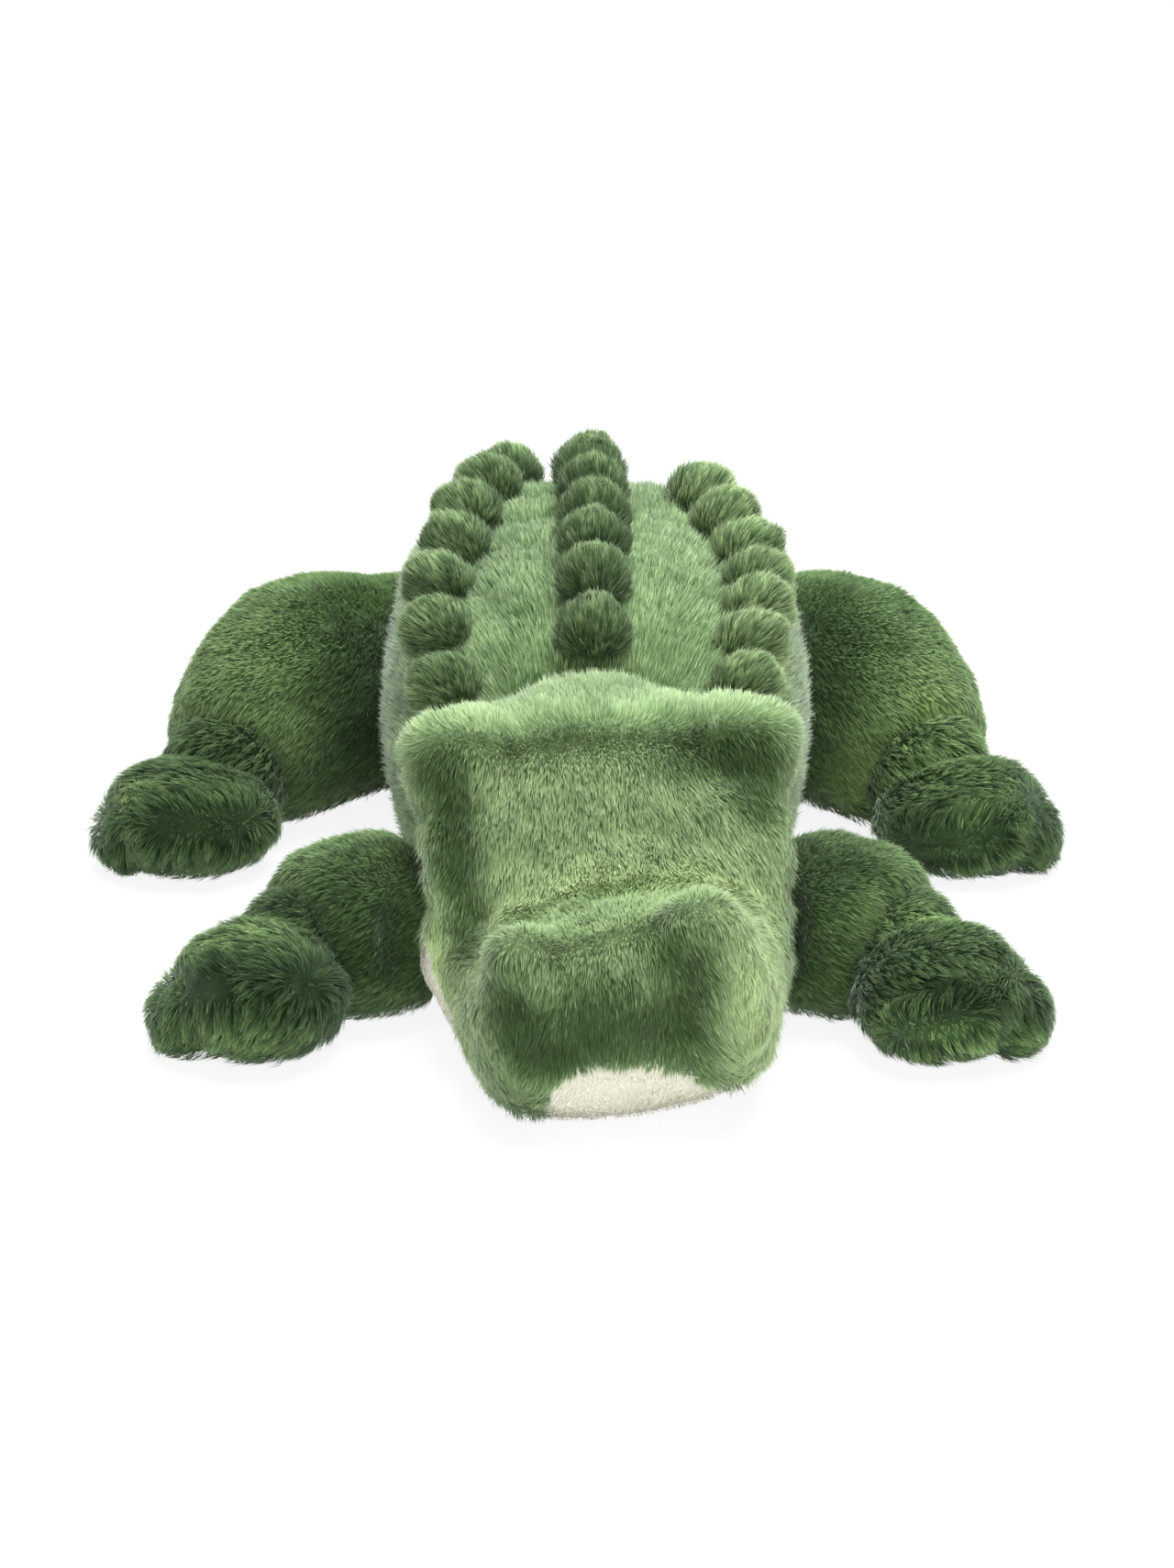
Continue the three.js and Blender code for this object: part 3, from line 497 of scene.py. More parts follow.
# The face: corners over the eyes, full nostril lobes with a hollow in each, and the valley between them
swell_at(head, [
    ((-55, -19, 88), (8, 10, 8), 3.6), ((57, -20, 88), (9, 10, 8), 4.4),
    ((-31, 2, 88), (13, 18, 12), 2.6), ((33, 0, 89), (13, 18, 12), 2.4), ((0, -26, 87), (30, 14, 10), 1.4),
    ((-48, -37, 82), (9, 9, 10), -5.0), ((43, -37, 85), (12, 8, 9), -5.0),
    ((-47, -47, 66), (6, 10, 12), -3.4), ((-44, -61, 48), (6, 12, 12), -3.4),
    ((46, -48, 70), (7, 8, 8), -1.8),
    ((0, 4, 92), (22, 16, 12), 0.8), ((0, -42, 78), (24, 16, 14), 1.0),
    ((-40, -112, 20), (9, 14, 14), 2.8), ((33, -108, 34), (9, 14, 18), 3.0),
    ((-38, -101, 57), (9, 10, 7), 3.2), ((22, -100, 65), (13, 9, 7), 3.4),
    ((-36, -110, 46), (8, 8, 11), -4.4), ((-25, -114, 32), (7, 8, 10), -3.6),
    ((15, -110, 52), (9, 8, 12), -4.8), ((12, -114, 37), (7, 8, 10), -3.0),
    ((-9, -111, 50), (9, 8, 10), 1.4), ((0, -57, 60), (34, 9, 9), 1.4), ((-54, -56, 30), (10, 12, 12), 5.5),
    ((48, -90, 30), (8, 20, 24), -1.6), ((-50, -90, 16), (10, 20, 12), -1.6),
])


# The front legs give way to the head over its whole turn, in degrees, by a gap in millimetres
head_turns = (-12, -6, 0, 4)
head_gap = 4.4


def leave_room(limb):
    """Draws a front leg's skin in where the head's skin, turned on the neck, would come nearer than the gap"""
    look_range, eased_reach = 12, 7
    tree = BVHTree.FromObject(head, bpy.context.evaluated_depsgraph_get())
    places, _ = places_and_normals(limb.data)
    moves = np.zeros_like(places)
    for angle in np.radians(head_turns):
        turn = upright_turn(angle)
        for index, place in enumerate((places - neck_centre) @ turn + neck_centre):
            spot, normal, _, _ = tree.find_nearest(Vector(place * MM), look_range * MM)
            if spot is None:
                continue
            short = head_gap - (Vector(place * MM) - spot).dot(normal) / MM
            if short > np.linalg.norm(moves[index]):
                moves[index] = turn @ np.array(normal) * short
    moved = places[np.linalg.norm(moves, axis=1) > 0]
    gaps = np.array([np.linalg.norm(moved - place, axis=1).min() for place in places])
    set_places(limb.data, places + moves)
    ease(limb, gaps < eased_reach, rounds=14)


for node_name in ("arm_left", "arm_right"):
    leave_room(skins[node_name])


# How far the pile can reach at each place of a skin before it meets another skin

def joined_tree():
    places, faces, start = [], [], 0
    for piece in skins.values():
        mesh = piece.data
        places.extend(vertex.co.copy() for vertex in mesh.vertices)
        faces.extend([start + index for index in face.vertices] for face in mesh.polygons)
        start += len(mesh.vertices)
    return BVHTree.FromPolygons(places, faces)


skin_tree = joined_tree()


def room_over(mesh, reach):
    """For each vertex, how far a strand along its normal can go, up to reach millimetres"""
    clear_of_skin = 0.35
    places, normals = places_and_normals(mesh)
    room = np.full(len(places), reach)
    for index, (place, normal) in enumerate(zip(places, normals)):
        direction = Vector(normal)
        hit = skin_tree.ray_cast(Vector((place + normal * clear_of_skin) * MM), direction, reach * MM)
        if hit[0] is not None:
            room[index] = hit[3] / MM
    return room


# Pile

def drift(places, wavelength, seed):
    """A smooth wandering value between about -1 and 1, over millimetres"""
    waves, usual_peak = 7, 3.2
    chance = np.random.default_rng(seed)
    total = np.zeros(len(places))
    for _ in range(waves):
        direction = chance.normal(size=3)
        direction *= 2 * math.pi / wavelength * chance.uniform(0.6, 1.6) / np.linalg.norm(direction)
        total += np.sin(places @ direction + chance.uniform(0, 2 * math.pi))
    return total / usual_peak


def unit(vectors):
    return vectors / np.maximum(np.linalg.norm(vectors, axis=1), 1e-9)[:, None]


def skin_grid(mesh):
    """A skin's triangles, with places, normals and triangle areas in millimetres"""
    mesh.calc_loop_triangles()
    corners = np.zeros(len(mesh.loop_triangles) * 3, np.int32)
    mesh.loop_triangles.foreach_get("vertices", corners)
    corners = corners.reshape(-1, 3)
    places, normals = places_and_normals(mesh)
    first, second, third = (places[corners[:, k]] for k in range(3))
    areas = np.linalg.norm(np.cross(second - first, third - first), axis=1) / 2
    return places, normals, corners, areas


def scattered_roots(chance, mesh, density, length, share):
    """Random roots on a skin, its normal at each, and how much of a strand's length is free there"""
    least_room, underside_share = 0.06, 0.15
    places, normals, corners, areas = skin_grid(mesh)
    room = np.clip(room_over(mesh, length) / length, 0, 1)
    grows = (room > least_room).astype(float)
    grows = grows * np.clip((normals[:, 2] + 0.95) / 0.45, underside_share, 1)
    if share is not None:
        grows = grows * share(places)
    weights = areas * grows[corners].mean(axis=1)
    count = int(density * pile_share * weights.sum())
    running = np.cumsum(weights)
    picked = np.searchsorted(running, chance.random(count) * running[-1])
    picked = np.minimum(picked, len(corners) - 1)
    first, second = chance.random(count), chance.random(count)
    over = first + second > 1
    first[over], second[over] = 1 - first[over], 1 - second[over]
    shares = np.stack([1 - first - second, first, second], axis=1)
    chosen = corners[picked]
    roots = np.einsum("nk,nkd->nd", shares, places[chosen])
    up = unit(np.einsum("nk,nkd->nd", shares, normals[chosen]))
    free = np.einsum("nk,nk->n", shares, room[chosen])
    return roots, up, free


def locks_of(roots, clump, seed):
    """Which lock each strand belongs to, and how many strands each lock has"""
    raggedness, primes = 0.35, (73856093, 19349663, 83492791)
    wander = np.stack([drift(roots, 7, seed + k) for k in range(3)], axis=1)
    cells = np.floor((roots + raggedness * clump * wander) / clump).astype(np.int64)
    keys = (cells[:, 0] * primes[0]) ^ (cells[:, 1] * primes[1]) ^ (cells[:, 2] * primes[2])
    _, group = np.unique(keys, return_inverse=True)
    return group, np.maximum(np.bincount(group), 1)


def draw_together(points, group, members, way, pull):
    """Moves points towards the middle of their lock, mostly across the nap"""
    along_dropped = 0.8
    centre = np.stack([np.bincount(group, points[:, k]) / members for k in range(3)], axis=1)[group]
    sideways = centre - points
    sideways -= along_dropped * (sideways * way).sum(axis=1)[:, None] * way
    points += pull * sideways


def strands_on(mesh, seed, flow, density, length, width, lean, tone=None, share=None, bend=0.5, clump=4.0,
               gather=0.35, spread=0.35, lift=0.55, parting=None, parting_width=4.0, lock_tone=0.05):
    """Strands of pile on a skin: root, middle and tip places, side vectors, shading normals, tones, widths and
    the skin's normals at the roots"""
    stray_share, stray_growth, stray_lean, stray_width = 0.12, 1.15, 0.68, 0.6
    middle_share, tip_share, middle_gather = 0.55, 0.45, 0.45
    least_lean, most_lean, most_tip_lean = 0.05, 1.35, 1.5
    usual_tone, pale_share, pale_tone = 0.48, 0.06, 0.28
    sway_seed, length_seed, lean_seed, lock_seed, tone_seed = (seed + step for step in (11, 21, 31, 41, 51))
    chance = np.random.default_rng(seed)
    roots, up, free = scattered_roots(chance, mesh, density, length, share)
    count = len(roots)

    # The way that each strand lies, its length, and its lean at root and tip
    way = unit(flow(roots))
    sway = np.stack([drift(roots, 16, sway_seed + k) for k in range(3)], axis=1)
    way = way + spread * (0.7 * sway + 0.4 * chance.normal(size=(count, 3)))
    way = unit(way - (way * up).sum(axis=1)[:, None] * up)
    tall = length * np.clip(free, 0.3, 1) * (1 + 0.1 * drift(roots, 12, length_seed))
    tall = tall * chance.uniform(0.8, 1.1, count)
    strays = chance.random(count) < stray_share
    tall = np.where(strays, stray_growth * tall, tall)
    on_top, forwards = np.clip((up[:, 2] - 0.5) / 0.45, 0, 1), np.clip(-2 * way[:, 1], 0, 1)
    lean_here = lean * (1 - lift * on_top * forwards)
    if parting is not None:
        beside = np.exp(-(distance_to_path(roots, np.array(parting)) / parting_width) ** 2)
        lean_here = lean_here * (1 - 0.7 * beside)
    lean_here = lean_here * (1 + 0.2 * drift(roots, 10, lean_seed)) + 0.08 * chance.normal(size=count)
    lean_here = np.clip(np.where(strays, stray_lean * lean_here, lean_here), least_lean, most_lean)
    tip_lean = np.clip(lean_here + bend, least_lean, most_tip_lean)
    start = up * np.cos(lean_here)[:, None] + way * np.sin(lean_here)[:, None]
    finish = up * np.cos(tip_lean)[:, None] + way * np.sin(tip_lean)[:, None]
    middles = roots + start * (middle_share * tall)[:, None]
    tips = middles + finish * (tip_share * tall)[:, None]

    # Neighbouring tips draw together into locks
    group, members = locks_of(roots, clump, lock_seed)
    draw_together(middles, group, members, way, gather * middle_gather)
    draw_together(tips, group, members, way, gather)
    for points in (roots, middles, tips):
        points[:, 2] = np.maximum(points[:, 2], strand_floor)

    # Each strand's broad side, the normal it is shaded by, its tone and its width
    heading = unit(tips - roots)
    side = unit(np.cross(heading, up))
    roll = chance.normal(scale=0.55, size=count)
    side = side * np.cos(roll)[:, None] + np.cross(heading, side) * np.sin(roll)[:, None]
    face = unit(np.cross(side, heading))
    face *= np.sign((face * up).sum(axis=1))[:, None]
    shade = unit(0.62 * up + 0.38 * face + 0.12 * heading)
    lock = chance.uniform(-1, 1, len(members))[group]
    tones = usual_tone + 0.07 * drift(roots, 24, tone_seed) + lock_tone * lock + 0.09 * chance.normal(size=count)
    tones = tones + pale_tone * (chance.random(count) < pale_share)
    if tone is not None:
        tones = tones + tone(roots)
    tones = np.clip(tones, 0.02, 0.98)
    wide = width / math.sqrt(pile_share) * chance.uniform(0.75, 1.25, count) * np.where(strays, stray_width, 1)
    return roots, middles, tips, side, shade, tones, wide, up


def dress(piece, strands, material, skin_tone=0.42, tone=None, depth=0.45):
    """Joins a skin and its strands in one mesh, with soft normals and a map whose U is tone and V the way up the
    pile. A small step of U keeps a strand's triangles from having no area on the map."""
    sunk_by, u_step = 0.3, 0.004
    root_v, middle_v, tip_v = 0.1, 0.55, 1.0
    mesh = piece.data
    skin_places, skin_normals = places_and_normals(mesh)
    skin_faces = [list(face.vertices) for face in mesh.polygons]
    roots, middles, tips, side, shade, tones, wide, up = strands
    count = len(roots)
    half = side * (wide / 2)[:, None]
    sunk = roots - up * sunk_by
    sunk[:, 2] = np.maximum(sunk[:, 2], root_floor)
    strand_places = np.stack([sunk, middles - half, middles + half, tips], axis=1)
    places = np.concatenate([skin_places, strand_places.reshape(-1, 3)])
    offset = len(skin_places) + 4 * np.arange(count)[:, None]
    strand_corners = (offset + np.array([0, 2, 1, 1, 2, 3])).astype(np.int32)
    skin_corners = np.array([index for face in skin_faces for index in face], np.int32)
    skin_sizes = np.array([len(face) for face in skin_faces], np.int32)
    corners = np.concatenate([skin_corners, strand_corners.ravel()])
    sizes = np.concatenate([skin_sizes, np.full(2 * count, 3, np.int32)])
    starts = np.concatenate([[0], np.cumsum(sizes)[:-1]]).astype(np.int32)

    whole = bpy.data.meshes.new(piece.name)
    whole.vertices.add(len(places))
    whole.vertices.foreach_set("co", (places * MM).astype(np.float32).ravel())
    whole.loops.add(len(corners))
    whole.loops.foreach_set("vertex_index", corners)
    whole.polygons.add(len(sizes))
    whole.polygons.foreach_set("loop_start", starts)
    whole.update(calc_edges=True)
    whole.polygons.foreach_set("use_smooth", np.ones(len(sizes), bool))

    layer = whole.uv_layers.new(name="OFBake")
    skin_u = skin_tone + 0.08 * drift(skin_places, 15, 5)
    if tone is not None:
        skin_u = skin_u + tone(skin_places)
    skin_u = np.clip(skin_u, 0.04, 0.96)
    skin_v = depth + 0.08 * drift(skin_places, 6, 6)
    skin_uv = np.stack([skin_u, skin_v], axis=1)[skin_corners]
    left, right, ends = (tones - u_step)[:, None], (tones + u_step)[:, None], tones[:, None]
    u = np.concatenate([ends, right, left, left, right, ends], axis=1)
    v = np.tile(np.array([root_v, middle_v, middle_v, middle_v, middle_v, tip_v]), (count, 1))
    strand_uv = np.stack([u, v], axis=2).reshape(-1, 2)
    layer.data.foreach_set("uv", np.concatenate([skin_uv, strand_uv]).astype(np.float32).ravel())

    normals = np.concatenate([skin_normals, np.repeat(shade, 4, axis=0)])
    whole.normals_split_custom_set_from_vertices(normals.astype(np.float32))
    whole.materials.append(material)
    piece.data = whole
    bpy.data.meshes.remove(mesh)


# Ways that the nap lies, as vectors for each root

def nap_head(roots):
    """Forward and down over the face, backwards behind the crown's ridge"""
    ridge_y, change_over, half_width = -24, 5, 50
    local = to_head(roots)
    behind = np.clip((local[:, 1] - ridge_y) / change_over, -1, 1)
    vectors = np.stack([0.35 * local[:, 0] / half_width, behind, -0.25 + 0.2 * behind], axis=1)
    return head_vectors(vectors)


def nap_back(roots):
    """From head to tail, and down the sides"""
    spine_x, half_width = 3, 70
    vectors = np.tile(np.array([0.0, 1.0, -0.12]), (len(roots), 1))
    vectors[:, 0] = 0.35 * (roots[:, 0] - spine_x) / half_width
    return vectors


def nap_rear(roots):
    """Straight back, and down"""
    return np.tile(np.array([0.0, 1.0, -0.35]), (len(roots), 1))


def nap_from(centre):
    """Away from a place"""
    return lambda roots: roots - centre


def nap_along(start, end):
    """From start to end, a little downwards"""
    way = end - start
    return lambda roots: np.tile(way, (len(roots), 1)) + np.array([0, 0, -0.3]) * np.linalg.norm(way)


# Closing each piece: standing for its solid, riding on its body

def finish_piece(piece, body, stands_for):
    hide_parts(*stands_for)
    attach(piece, body)


bodies = frame["record"]["behaviour"]["bodies"]
body_of_node = {member: body for body, members in bodies.items() for member in members}


def middle_of(node_name):
    """The middle of a solid's box, in millimetres"""
    low, high = (np.array(corner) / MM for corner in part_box(node_name))
    return (low + high) / 2


def near_tone(path, width, depth):
    """A darker or lighter band of tone along a path of points"""
    path = np.array(path, float)
    return lambda roots: depth * np.exp(-(distance_to_path(roots, path) / width) ** 2)


def level_tone(change):
    return lambda roots: np.full(len(roots), change)


def thicken(piece):
    """Gives an open skin the cloth's thickness, inwards"""
    wall = piece.modifiers.new("wall", "SOLIDIFY")
    wall.thickness = cloth_thickness * MM
    wall.offset = -1
    settle(piece)


# Painted shade in the face's hollows and grooves, and painted light on its rims and ridges: centre in the head's
# own frame, radii, and change of tone
face_light_and_shade_spots = [
    ((-50, -35, 83), (11, 13, 11), -0.46), ((-49, -41, 72), (8, 10, 9), -0.32),
    ((38, -34, 87), (17, 12, 7), -0.38), ((47, -37, 82), (11, 11, 9), -0.4),
    ((48, -44, 72), (7, 9, 8), -0.22),
    ((-49, -48, 64), (8, 10, 9), -0.42), ((-47, -56, 53), (8, 10, 9), -0.44),
    ((-45, -64, 42), (8, 11, 9), -0.38), ((-39, -109, 49), (9, 10, 9), -0.42),
    ((-35, -112, 40), (10, 10, 9), -0.42), ((-26, -115, 31), (10, 10, 8), -0.44),
    ((14, -106, 61), (11, 9, 8), -0.32), ((17, -111, 50), (11, 10, 10), -0.34),
    ((12, -114, 37), (9, 9, 10), -0.4), ((-8, -113, 39), (18, 10, 13), -0.56),
    ((-9, -110, 50), (14, 9, 7), -0.16), ((-36, -114, 16), (14, 14, 14), -0.2),
    ((20, -114, 24), (10, 12, 10), -0.14), ((0, -66, 58), (34, 12, 9), 0.12),
    ((0, 0, 92), (50, 22, 14), -0.14), ((37, -108, 44), (7, 12, 18), 0.34),
    ((44, -100, 36), (9, 16, 22), 0.2), ((-54, -66, 40), (6, 22, 30), 0.14),
    ((50, -70, 50), (8, 24, 26), 0.14), ((-4, -44, 70), (34, 8, 8), -0.14),
    ((-58, -58, 44), (5, 26, 26), 0.3), ((-12, -113, 52), (30, 7, 5), 0.06),
]


def spots_tone(spots, places):
    """Change of tone at places from soft spots: centre, radii and depth"""
    change = np.zeros(len(places))
    for centre, radii, depth in spots:
        change += depth * np.exp(-(((places - np.array(centre)) / np.array(radii)) ** 2).sum(axis=1))
    return change


# Painted light along the stop's crease, where the pile shades it, and painted shade along the crown's ridge, where
# the parted strands stand up into the light
stop_painted_light = near_tone(stop_crease, 6, 0.26)
crown_shade = near_tone(crown_ridge[1:4], 9, -0.1)


# The head's painted light and shade: the face's spots, the stop's crease and the crown's ridge
def head_light_and_shade(roots):
    return spots_tone(face_light_and_shade_spots, to_face(roots)) + stop_painted_light(roots) + crown_shade(roots)


# Limbs: painted shade beside the head and torso and in spots on the paws, painted light on the upper rims of paws
# and feet and over their shaded lower parts
limb_light_and_shade_spots = [
    ((-72, -128, 32), (20, 26, 24), -0.55), ((70, -124, 32), (17, 28, 22), -0.4),
    ((84, -114, 46), (18, 20, 12), -0.3), ((-77, 16, 48), (18, 44, 30), -0.55),
    ((82, 30, 62), (18, 34, 18), -0.4), ((84, 0, 44), (16, 24, 22), -0.24),
    ((-125, 30, 50), (20, 40, 26), 0.06), ((121, -3, 40), (22, 20, 20), 0.42),
    ((97, -4, 22), (16, 16, 14), 0.36), ((129, -38, 22), (13, 9, 12), 0.3),
    ((114, -163, 14), (28, 9, 8), 0.42), ((-104, -140, 38), (26, 12, 8), 0.4),
    ((-106, -160, 15), (26, 8, 7), 0.25), ((108, -131, 38), (20, 9, 9), 0.36),
    ((-132, -142, 24), (8, 12, 12), 0.3), ((-105, -158, 30), (26, 9, 8), -0.32),
    ((113, -160, 27), (16, 8, 5), -0.6), ((106, -138, 40), (20, 12, 8), 0.16),
    ((146, -36, 20), (18, 10, 8), -0.24), ((-140, -34, 18), (20, 10, 8), -0.24),
    ((-150, -26, 24), (5, 12, 12), 0.3),
]


def limb_light_and_shade(roots):
    return spots_tone(limb_light_and_shade_spots, roots)


# Painted shadow beside the middle row of tufts, and painted shade in the back's folds
middle_row_shadow = near_tone([(-19, -40, 96), (-17, 0, 100), (-15, 40, 100)], 8, -0.04)
middle_fold_shade = near_tone(middle_fold, 3.5, -0.03)
rear_fold_shade = near_tone(rear_fold, 3.5, -0.08)


def back_painted_shade(roots):
    """Painted shade: the back's nap runs with the light, so its colour is toned down, and more so in painted
    shadow beside the middle row and painted shade in the folds
    """
    level, across = -0.23, 0.0002
    return (level + across * roots[:, 0] + middle_row_shadow(roots) + middle_fold_shade(roots)
            + rear_fold_shade(roots))


# Torso: the back and the belly are cut from one skin at the seam
def in_belly(places):
    return (places[:, 2] < torso_seam_height) | (places[:, 1] < chest_front_y)


belly = parted(torso, "belly_plush", in_belly)
strands = strands_on(torso.data, seeds["back"], nap_back, tone=back_painted_shade, **back_pile)
thicken(torso)
dress(torso, strands, plush, skin_tone=0.5, tone=back_painted_shade, depth=0.6)
finish_piece(torso, "torso", ["back_panel"])

strands = strands_on(belly.data, seeds["belly"], nap_rear, **belly_pile)
thicken(belly)
dress(belly, strands, cream_plush, skin_tone=0.5)
finish_piece(belly, "torso", ["belly_panel"])

# Head
chin = parted(head, "chin_plush", in_jaw)


def nearest_to(node_name):
    """A test for faces that lie nearer to the named solid than to the head's cap"""
    wanted, other = (BVHTree.FromObject(nodes[name], bpy.context.evaluated_depsgraph_get())
                     for name in (node_name, "head_cap"))

    def pick(centres):
        places = [Vector(centre * MM) for centre in centres]
        return np.array([wanted.find_nearest(place)[3] < other.find_nearest(place)[3] for place in places])
    return pick


def bare_by_eyes(places):
    """No pile grows within bare_radius millimetres of an eye, and thin pile for a little further"""
    bare_radius, thin_over = 5.4, 1.2
    gaps = [np.linalg.norm(places - middle_of("eye_" + side_name), axis=1) for side_name in ("left", "right")]
    return np.clip((np.minimum(*gaps) - bare_radius) / thin_over, 0, 1)


head_parts = [(head, "head_cap")]
for side_name in ("left", "right"):
    for node_name in ("eye_bump_" + side_name, "nostril_" + side_name):
        head_parts.append((parted(head, node_name + "_plush", nearest_to(node_name)), node_name))
for index, (piece, node_name) in enumerate(head_parts):
    strands = strands_on(piece.data, seeds["head"] + index, nap_head, tone=head_light_and_shade, share=bare_by_eyes,
                         parting=crown_ridge, **head_pile)
    thicken(piece)
    dress(piece, strands, plush, skin_tone=0.48, tone=head_light_and_shade, depth=0.58)
    finish_piece(piece, "head", [node_name])

strands = strands_on(chin.data, seeds["chin"], nap_head, **chin_pile)
thicken(chin)
dress(chin, strands, cream_plush, skin_tone=0.6)
finish_piece(chin, "head", ["jaw_panel"])

# Legs: the pile of a paw or foot parts along the seam round its outer side
pad_seams = {
    "paw_right": [(-131, -147, 22), (-112, -156, 28), (-88, -154, 27)],
    "paw_left": [(131, -146, 24), (115, -162, 20), (98, -164, 13)],
    "foot_right": [(-160, -24, 16), (-138, -36, 22), (-112, -36, 22)],
    "foot_left": [(150, -24, 22), (132, -38, 18), (110, -38, 14)],
}


def nap_parted(seam, start, end):
    """From start to end, and away from the seam to both sides of it"""
    seam_reach, away_pull, along_pull = 14, 1.2, 0.6
    path = np.array(seam, float)
    way = unit(np.array([end - start]))[0]

    def flow(roots):
        nearest = np.zeros_like(roots)
        least = np.full(len(roots), np.inf)
        for first, last in zip(path[:-1], path[1:]):
            along = last - first
            share = np.clip(((roots - first) @ along) / (along @ along), 0, 1)
            spot = first + share[:, None] * along
            gap = np.linalg.norm(roots - spot, axis=1)
            closer = gap < least
            nearest[closer], least[closer] = spot[closer], gap[closer]
        away = unit(roots - nearest) * np.exp(-(least / seam_reach) ** 2)[:, None]
        return away_pull * away + along_pull * way + np.array([0, 0, -0.1])
    return flow


joint_places = {joint["name"]: np.array(joint["pos_m"]) / MM for joint in frame["joints"]}
for side_index, side_name in enumerate(("left", "right")):
    for pair_index, (part, end) in enumerate((("arm", "paw"), ("thigh", "foot"))):
        limb_name, end_name = part + "_" + side_name, end + "_" + side_name
        root = joint_places[limb_name + "_swing"]
        joint = joint_places[end_name + "_flex"]
        seed = seeds["legs"] + side_index * 10 + pair_index * 5
        limb = skins[limb_name]
        strands = strands_on(limb.data, seed, nap_along(root, joint), tone=limb_light_and_shade, **limb_pile)
        dress(limb, strands, shaded_leg_plush, tone=limb_light_and_shade)
        finish_piece(limb, limb_name, [limb_name])

        pad = skins[end_name]
        seam = pad_seams[end_name]
        press_along(pad, seam, width=3.0, depth=1.6)
        nap = nap_parted(seam, joint, middle_of(end_name))
        strands = strands_on(pad.data, seed + 1, nap, tone=limb_light_and_shade, parting=seam, **pad_pile)
        dress(pad, strands, long_plush, tone=limb_light_and_shade)
        finish_piece(pad, end_name, [end_name])

# Tail
tail_tone = level_tone(-0.12)
for index, node_name in enumerate(("tail_base", "tail_tip")):
    tail = skins[node_name]
    strands = strands_on(tail.data, seeds["tail"] + index, nap_rear, tone=tail_tone, **tail_pile)
    dress(tail, strands, plush, skin_tone=0.5, tone=tail_tone, depth=0.6)
    finish_piece(tail, node_name, [node_name])


# Tufts: the strands fan out from the foot of each padded tab
def tuft_foot(node_name):
    """The place in the back that a tuft stands up from: inwards and a little forward of its middle"""
    middle_row_x, back_axis_height, least_rise, depth = 1.5, 45, 5, 11
    middle = middle_of(node_name)
    rise = max(middle[2] - back_axis_height, least_rise)
    outwards = unit(np.array([[middle[0] - middle_row_x, 0, rise]]))[0]
    return middle - depth * outwards + np.array([0, -4, 0])


row_tones = {"centre": -0.35, "right": -0.24, "left": -0.04, "tail": -0.1}
for index, node_name in enumerate(tuft_names):
    tuft = skins[node_name]
    row_tone = level_tone(row_tones[node_name.split("_")[1]])
    strands = strands_on(tuft.data, seeds["tufts"] + index, nap_from(tuft_foot(node_name)), tone=row_tone,
                         **tuft_pile)
    dress(tuft, strands, tuft_plush, skin_tone=0.2)
    finish_piece(tuft, body_of_node[node_name], [node_name])


# Filling and pouch inside the cloth

def add_filling(name, node_name, body, material, voxel, lumps):
    """A soft piece inside the cloth, with hollows of about lumps millimetres"""
    piece = smooth_outside(name, [node_name], voxel, rounds=3)
    places, normals = places_and_normals(piece.data)
    set_places(piece.data, places - normals * (lumps * (1 + drift(places, 14, 60)))[:, None])
    piece.data.materials.append(material)
    finish_piece(piece, body, [node_name])


add_filling("body_filling", "body_stuffing", "torso", fibre, voxel=3.0, lumps=0.5)
add_filling("pellet_bag", "pellet_pouch", "torso", pouch_cloth, voxel=3.0, lumps=0.2)
add_filling("neck_filling", "neck_stuffing", "neck", fibre, voxel=1.6, lumps=0.1)
add_filling("head_filling", "head_stuffing", "head", fibre, voxel=3.0, lumps=0.5)


# Eyes: a domed bead on its post, turned about the post's own line
def add_eye(side_name, sign):
    tilt = math.radians(16)
    dome_radius, dome_height, post_radius, post_length, seat_offset = 5.5, 2.8, 1.6, 7.5, 1.3
    out = head_vectors([(sign * math.cos(tilt), 0, math.sin(tilt))])[0]
    seat = middle_of("eye_" + side_name) + seat_offset * out
    shape = bmesh.new()
    profile = [(0, -post_length), (post_radius, -post_length), (post_radius, 0), (dome_radius, 0)]
    rises = np.linspace(0.12, math.pi / 2, 9)[:-1]
    profile += [(dome_radius * math.cos(rise), dome_height * math.sin(rise)) for rise in rises]
    profile.append((0, dome_height))
    verts = [shape.verts.new((x * MM, 0, z * MM)) for x, z in profile]
    edges = [shape.edges.new(pair) for pair in zip(verts[:-1], verts[1:])]
    bmesh.ops.spin(shape, geom=verts + edges, axis=(0, 0, 1), cent=(0, 0, 0), angle=2 * math.pi, steps=32,
                   use_merge=True)
    bmesh.ops.remove_doubles(shape, verts=shape.verts, dist=1e-6)
    bmesh.ops.recalc_face_normals(shape, faces=shape.faces)
    turn = Vector((0, 0, 1)).rotation_difference(Vector(out)).to_matrix().to_4x4()
    bmesh.ops.transform(shape, matrix=Matrix.Translation(Vector(seat * MM)) @ turn, verts=shape.verts)
    for face in shape.faces:
        face.smooth = True
    eye = piece_of("bead_eye_" + side_name, shape)
    eye.data.materials.append(eye_gloss)
    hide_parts("eye_" + side_name)
    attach(eye, "head")


for side_name, sign in (("left", 1), ("right", -1)):
    add_eye(side_name, sign)
    washer = nodes["eye_washer_" + side_name]
    for material_slot in washer.material_slots:
        material_slot.material = washer_plastic


# Floor, world and lamps

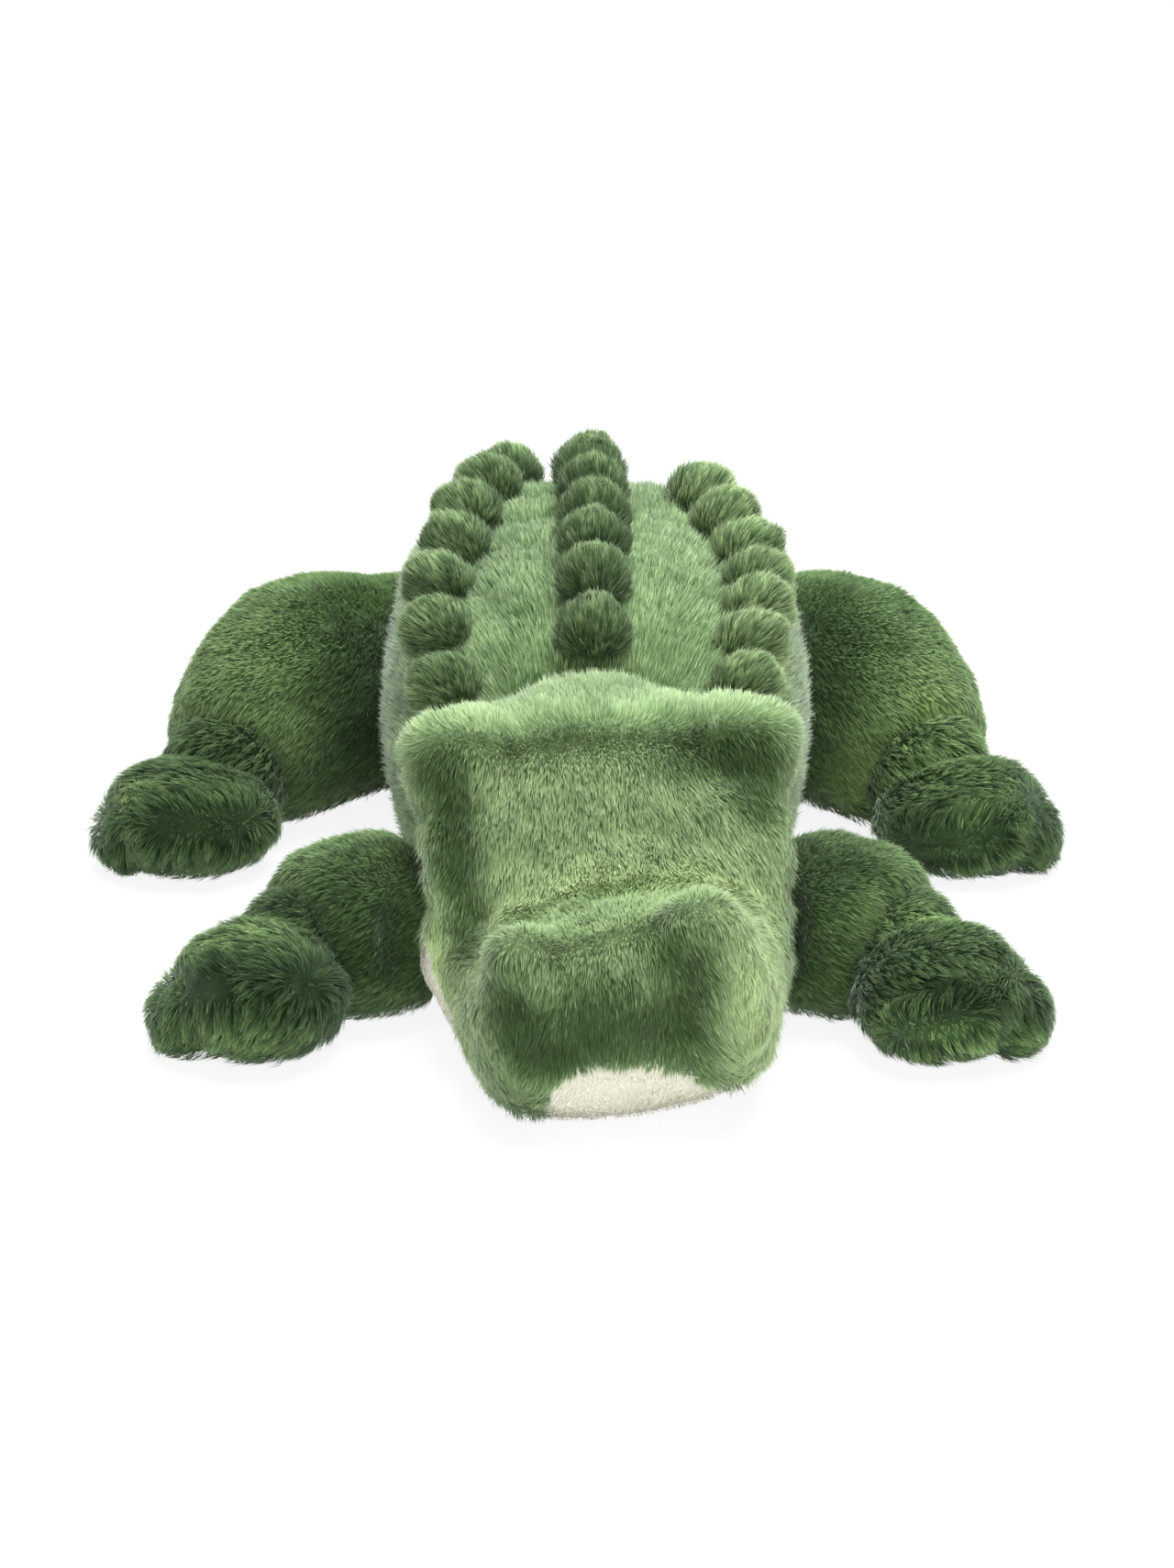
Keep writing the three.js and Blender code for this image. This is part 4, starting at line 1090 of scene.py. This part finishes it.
def add_floor():
    """A white ground that the camera sees almost without shadows"""
    half_width, floor_drop, white_share = 4, 0.0002, 0.88
    shape = bmesh.new()
    bmesh.ops.create_grid(shape, x_segments=1, y_segments=1, size=half_width)
    floor = piece_of("floor", shape)
    floor.location.z = -floor_drop
    material, tree, shader = new_material("white_floor", 0.9)
    shader.inputs["Base Color"].default_value = (0.93, 0.93, 0.93, 1)
    light_path = tree.nodes.new("ShaderNodeLightPath")
    white = tree.nodes.new("ShaderNodeEmission")
    white.inputs["Color"].default_value = (1, 1, 1, 1)
    seen = tree.nodes.new("ShaderNodeMath")
    seen.operation = "MAXIMUM"
    tree.links.new(light_path.outputs["Is Camera Ray"], seen.inputs[0])
    tree.links.new(light_path.outputs["Is Glossy Ray"], seen.inputs[1])
    blend = tree.nodes.new("ShaderNodeMath")
    blend.operation = "MULTIPLY"
    blend.inputs[1].default_value = white_share
    tree.links.new(seen.outputs[0], blend.inputs[0])
    mix = tree.nodes.new("ShaderNodeMixShader")
    tree.links.new(blend.outputs[0], mix.inputs["Fac"])
    tree.links.new(shader.outputs["BSDF"], mix.inputs[1])
    tree.links.new(white.outputs["Emission"], mix.inputs[2])
    tree.links.new(mix.outputs["Shader"], tree.nodes["Material Output"].inputs["Surface"])
    floor.data.materials.append(material)


def add_world():
    """White all round, dimmer as light than as the camera sees it"""
    light_strength, seen_strength = 0.62, 1.0
    world = bpy.data.worlds.new("soft_room")
    world.use_nodes = True
    tree = world.node_tree
    background = tree.nodes["Background"]
    background.inputs["Color"].default_value = (1, 1, 1, 1)
    light_path = tree.nodes.new("ShaderNodeLightPath")
    strength = tree.nodes.new("ShaderNodeMapRange")
    strength.inputs["To Min"].default_value = light_strength
    strength.inputs["To Max"].default_value = seen_strength
    tree.links.new(light_path.outputs["Is Camera Ray"], strength.inputs["Value"])
    tree.links.new(strength.outputs["Result"], background.inputs["Strength"])
    scene.world = world


def add_lamp(name, place, aim, size, power):
    lamp = bpy.data.lights.new(name, "AREA")
    lamp.size = size
    lamp.energy = power
    holder = bpy.data.objects.new(name, lamp)
    holder.location = place
    holder.rotation_euler = (Vector(aim) - Vector(place)).to_track_quat("-Z", "Y").to_euler()
    scene.collection.objects.link(holder)


add_floor()
add_world()
add_lamp("overhead_softbox", place=(0.15, 0.3, 1.4), aim=(0, -0.02, 0), size=1.0, power=50)
add_lamp("front_fill", place=(0.2, -1.6, 0.8), aim=(0, -0.1, 0.04), size=1.2, power=14)

scene.view_settings.view_transform = "Standard"
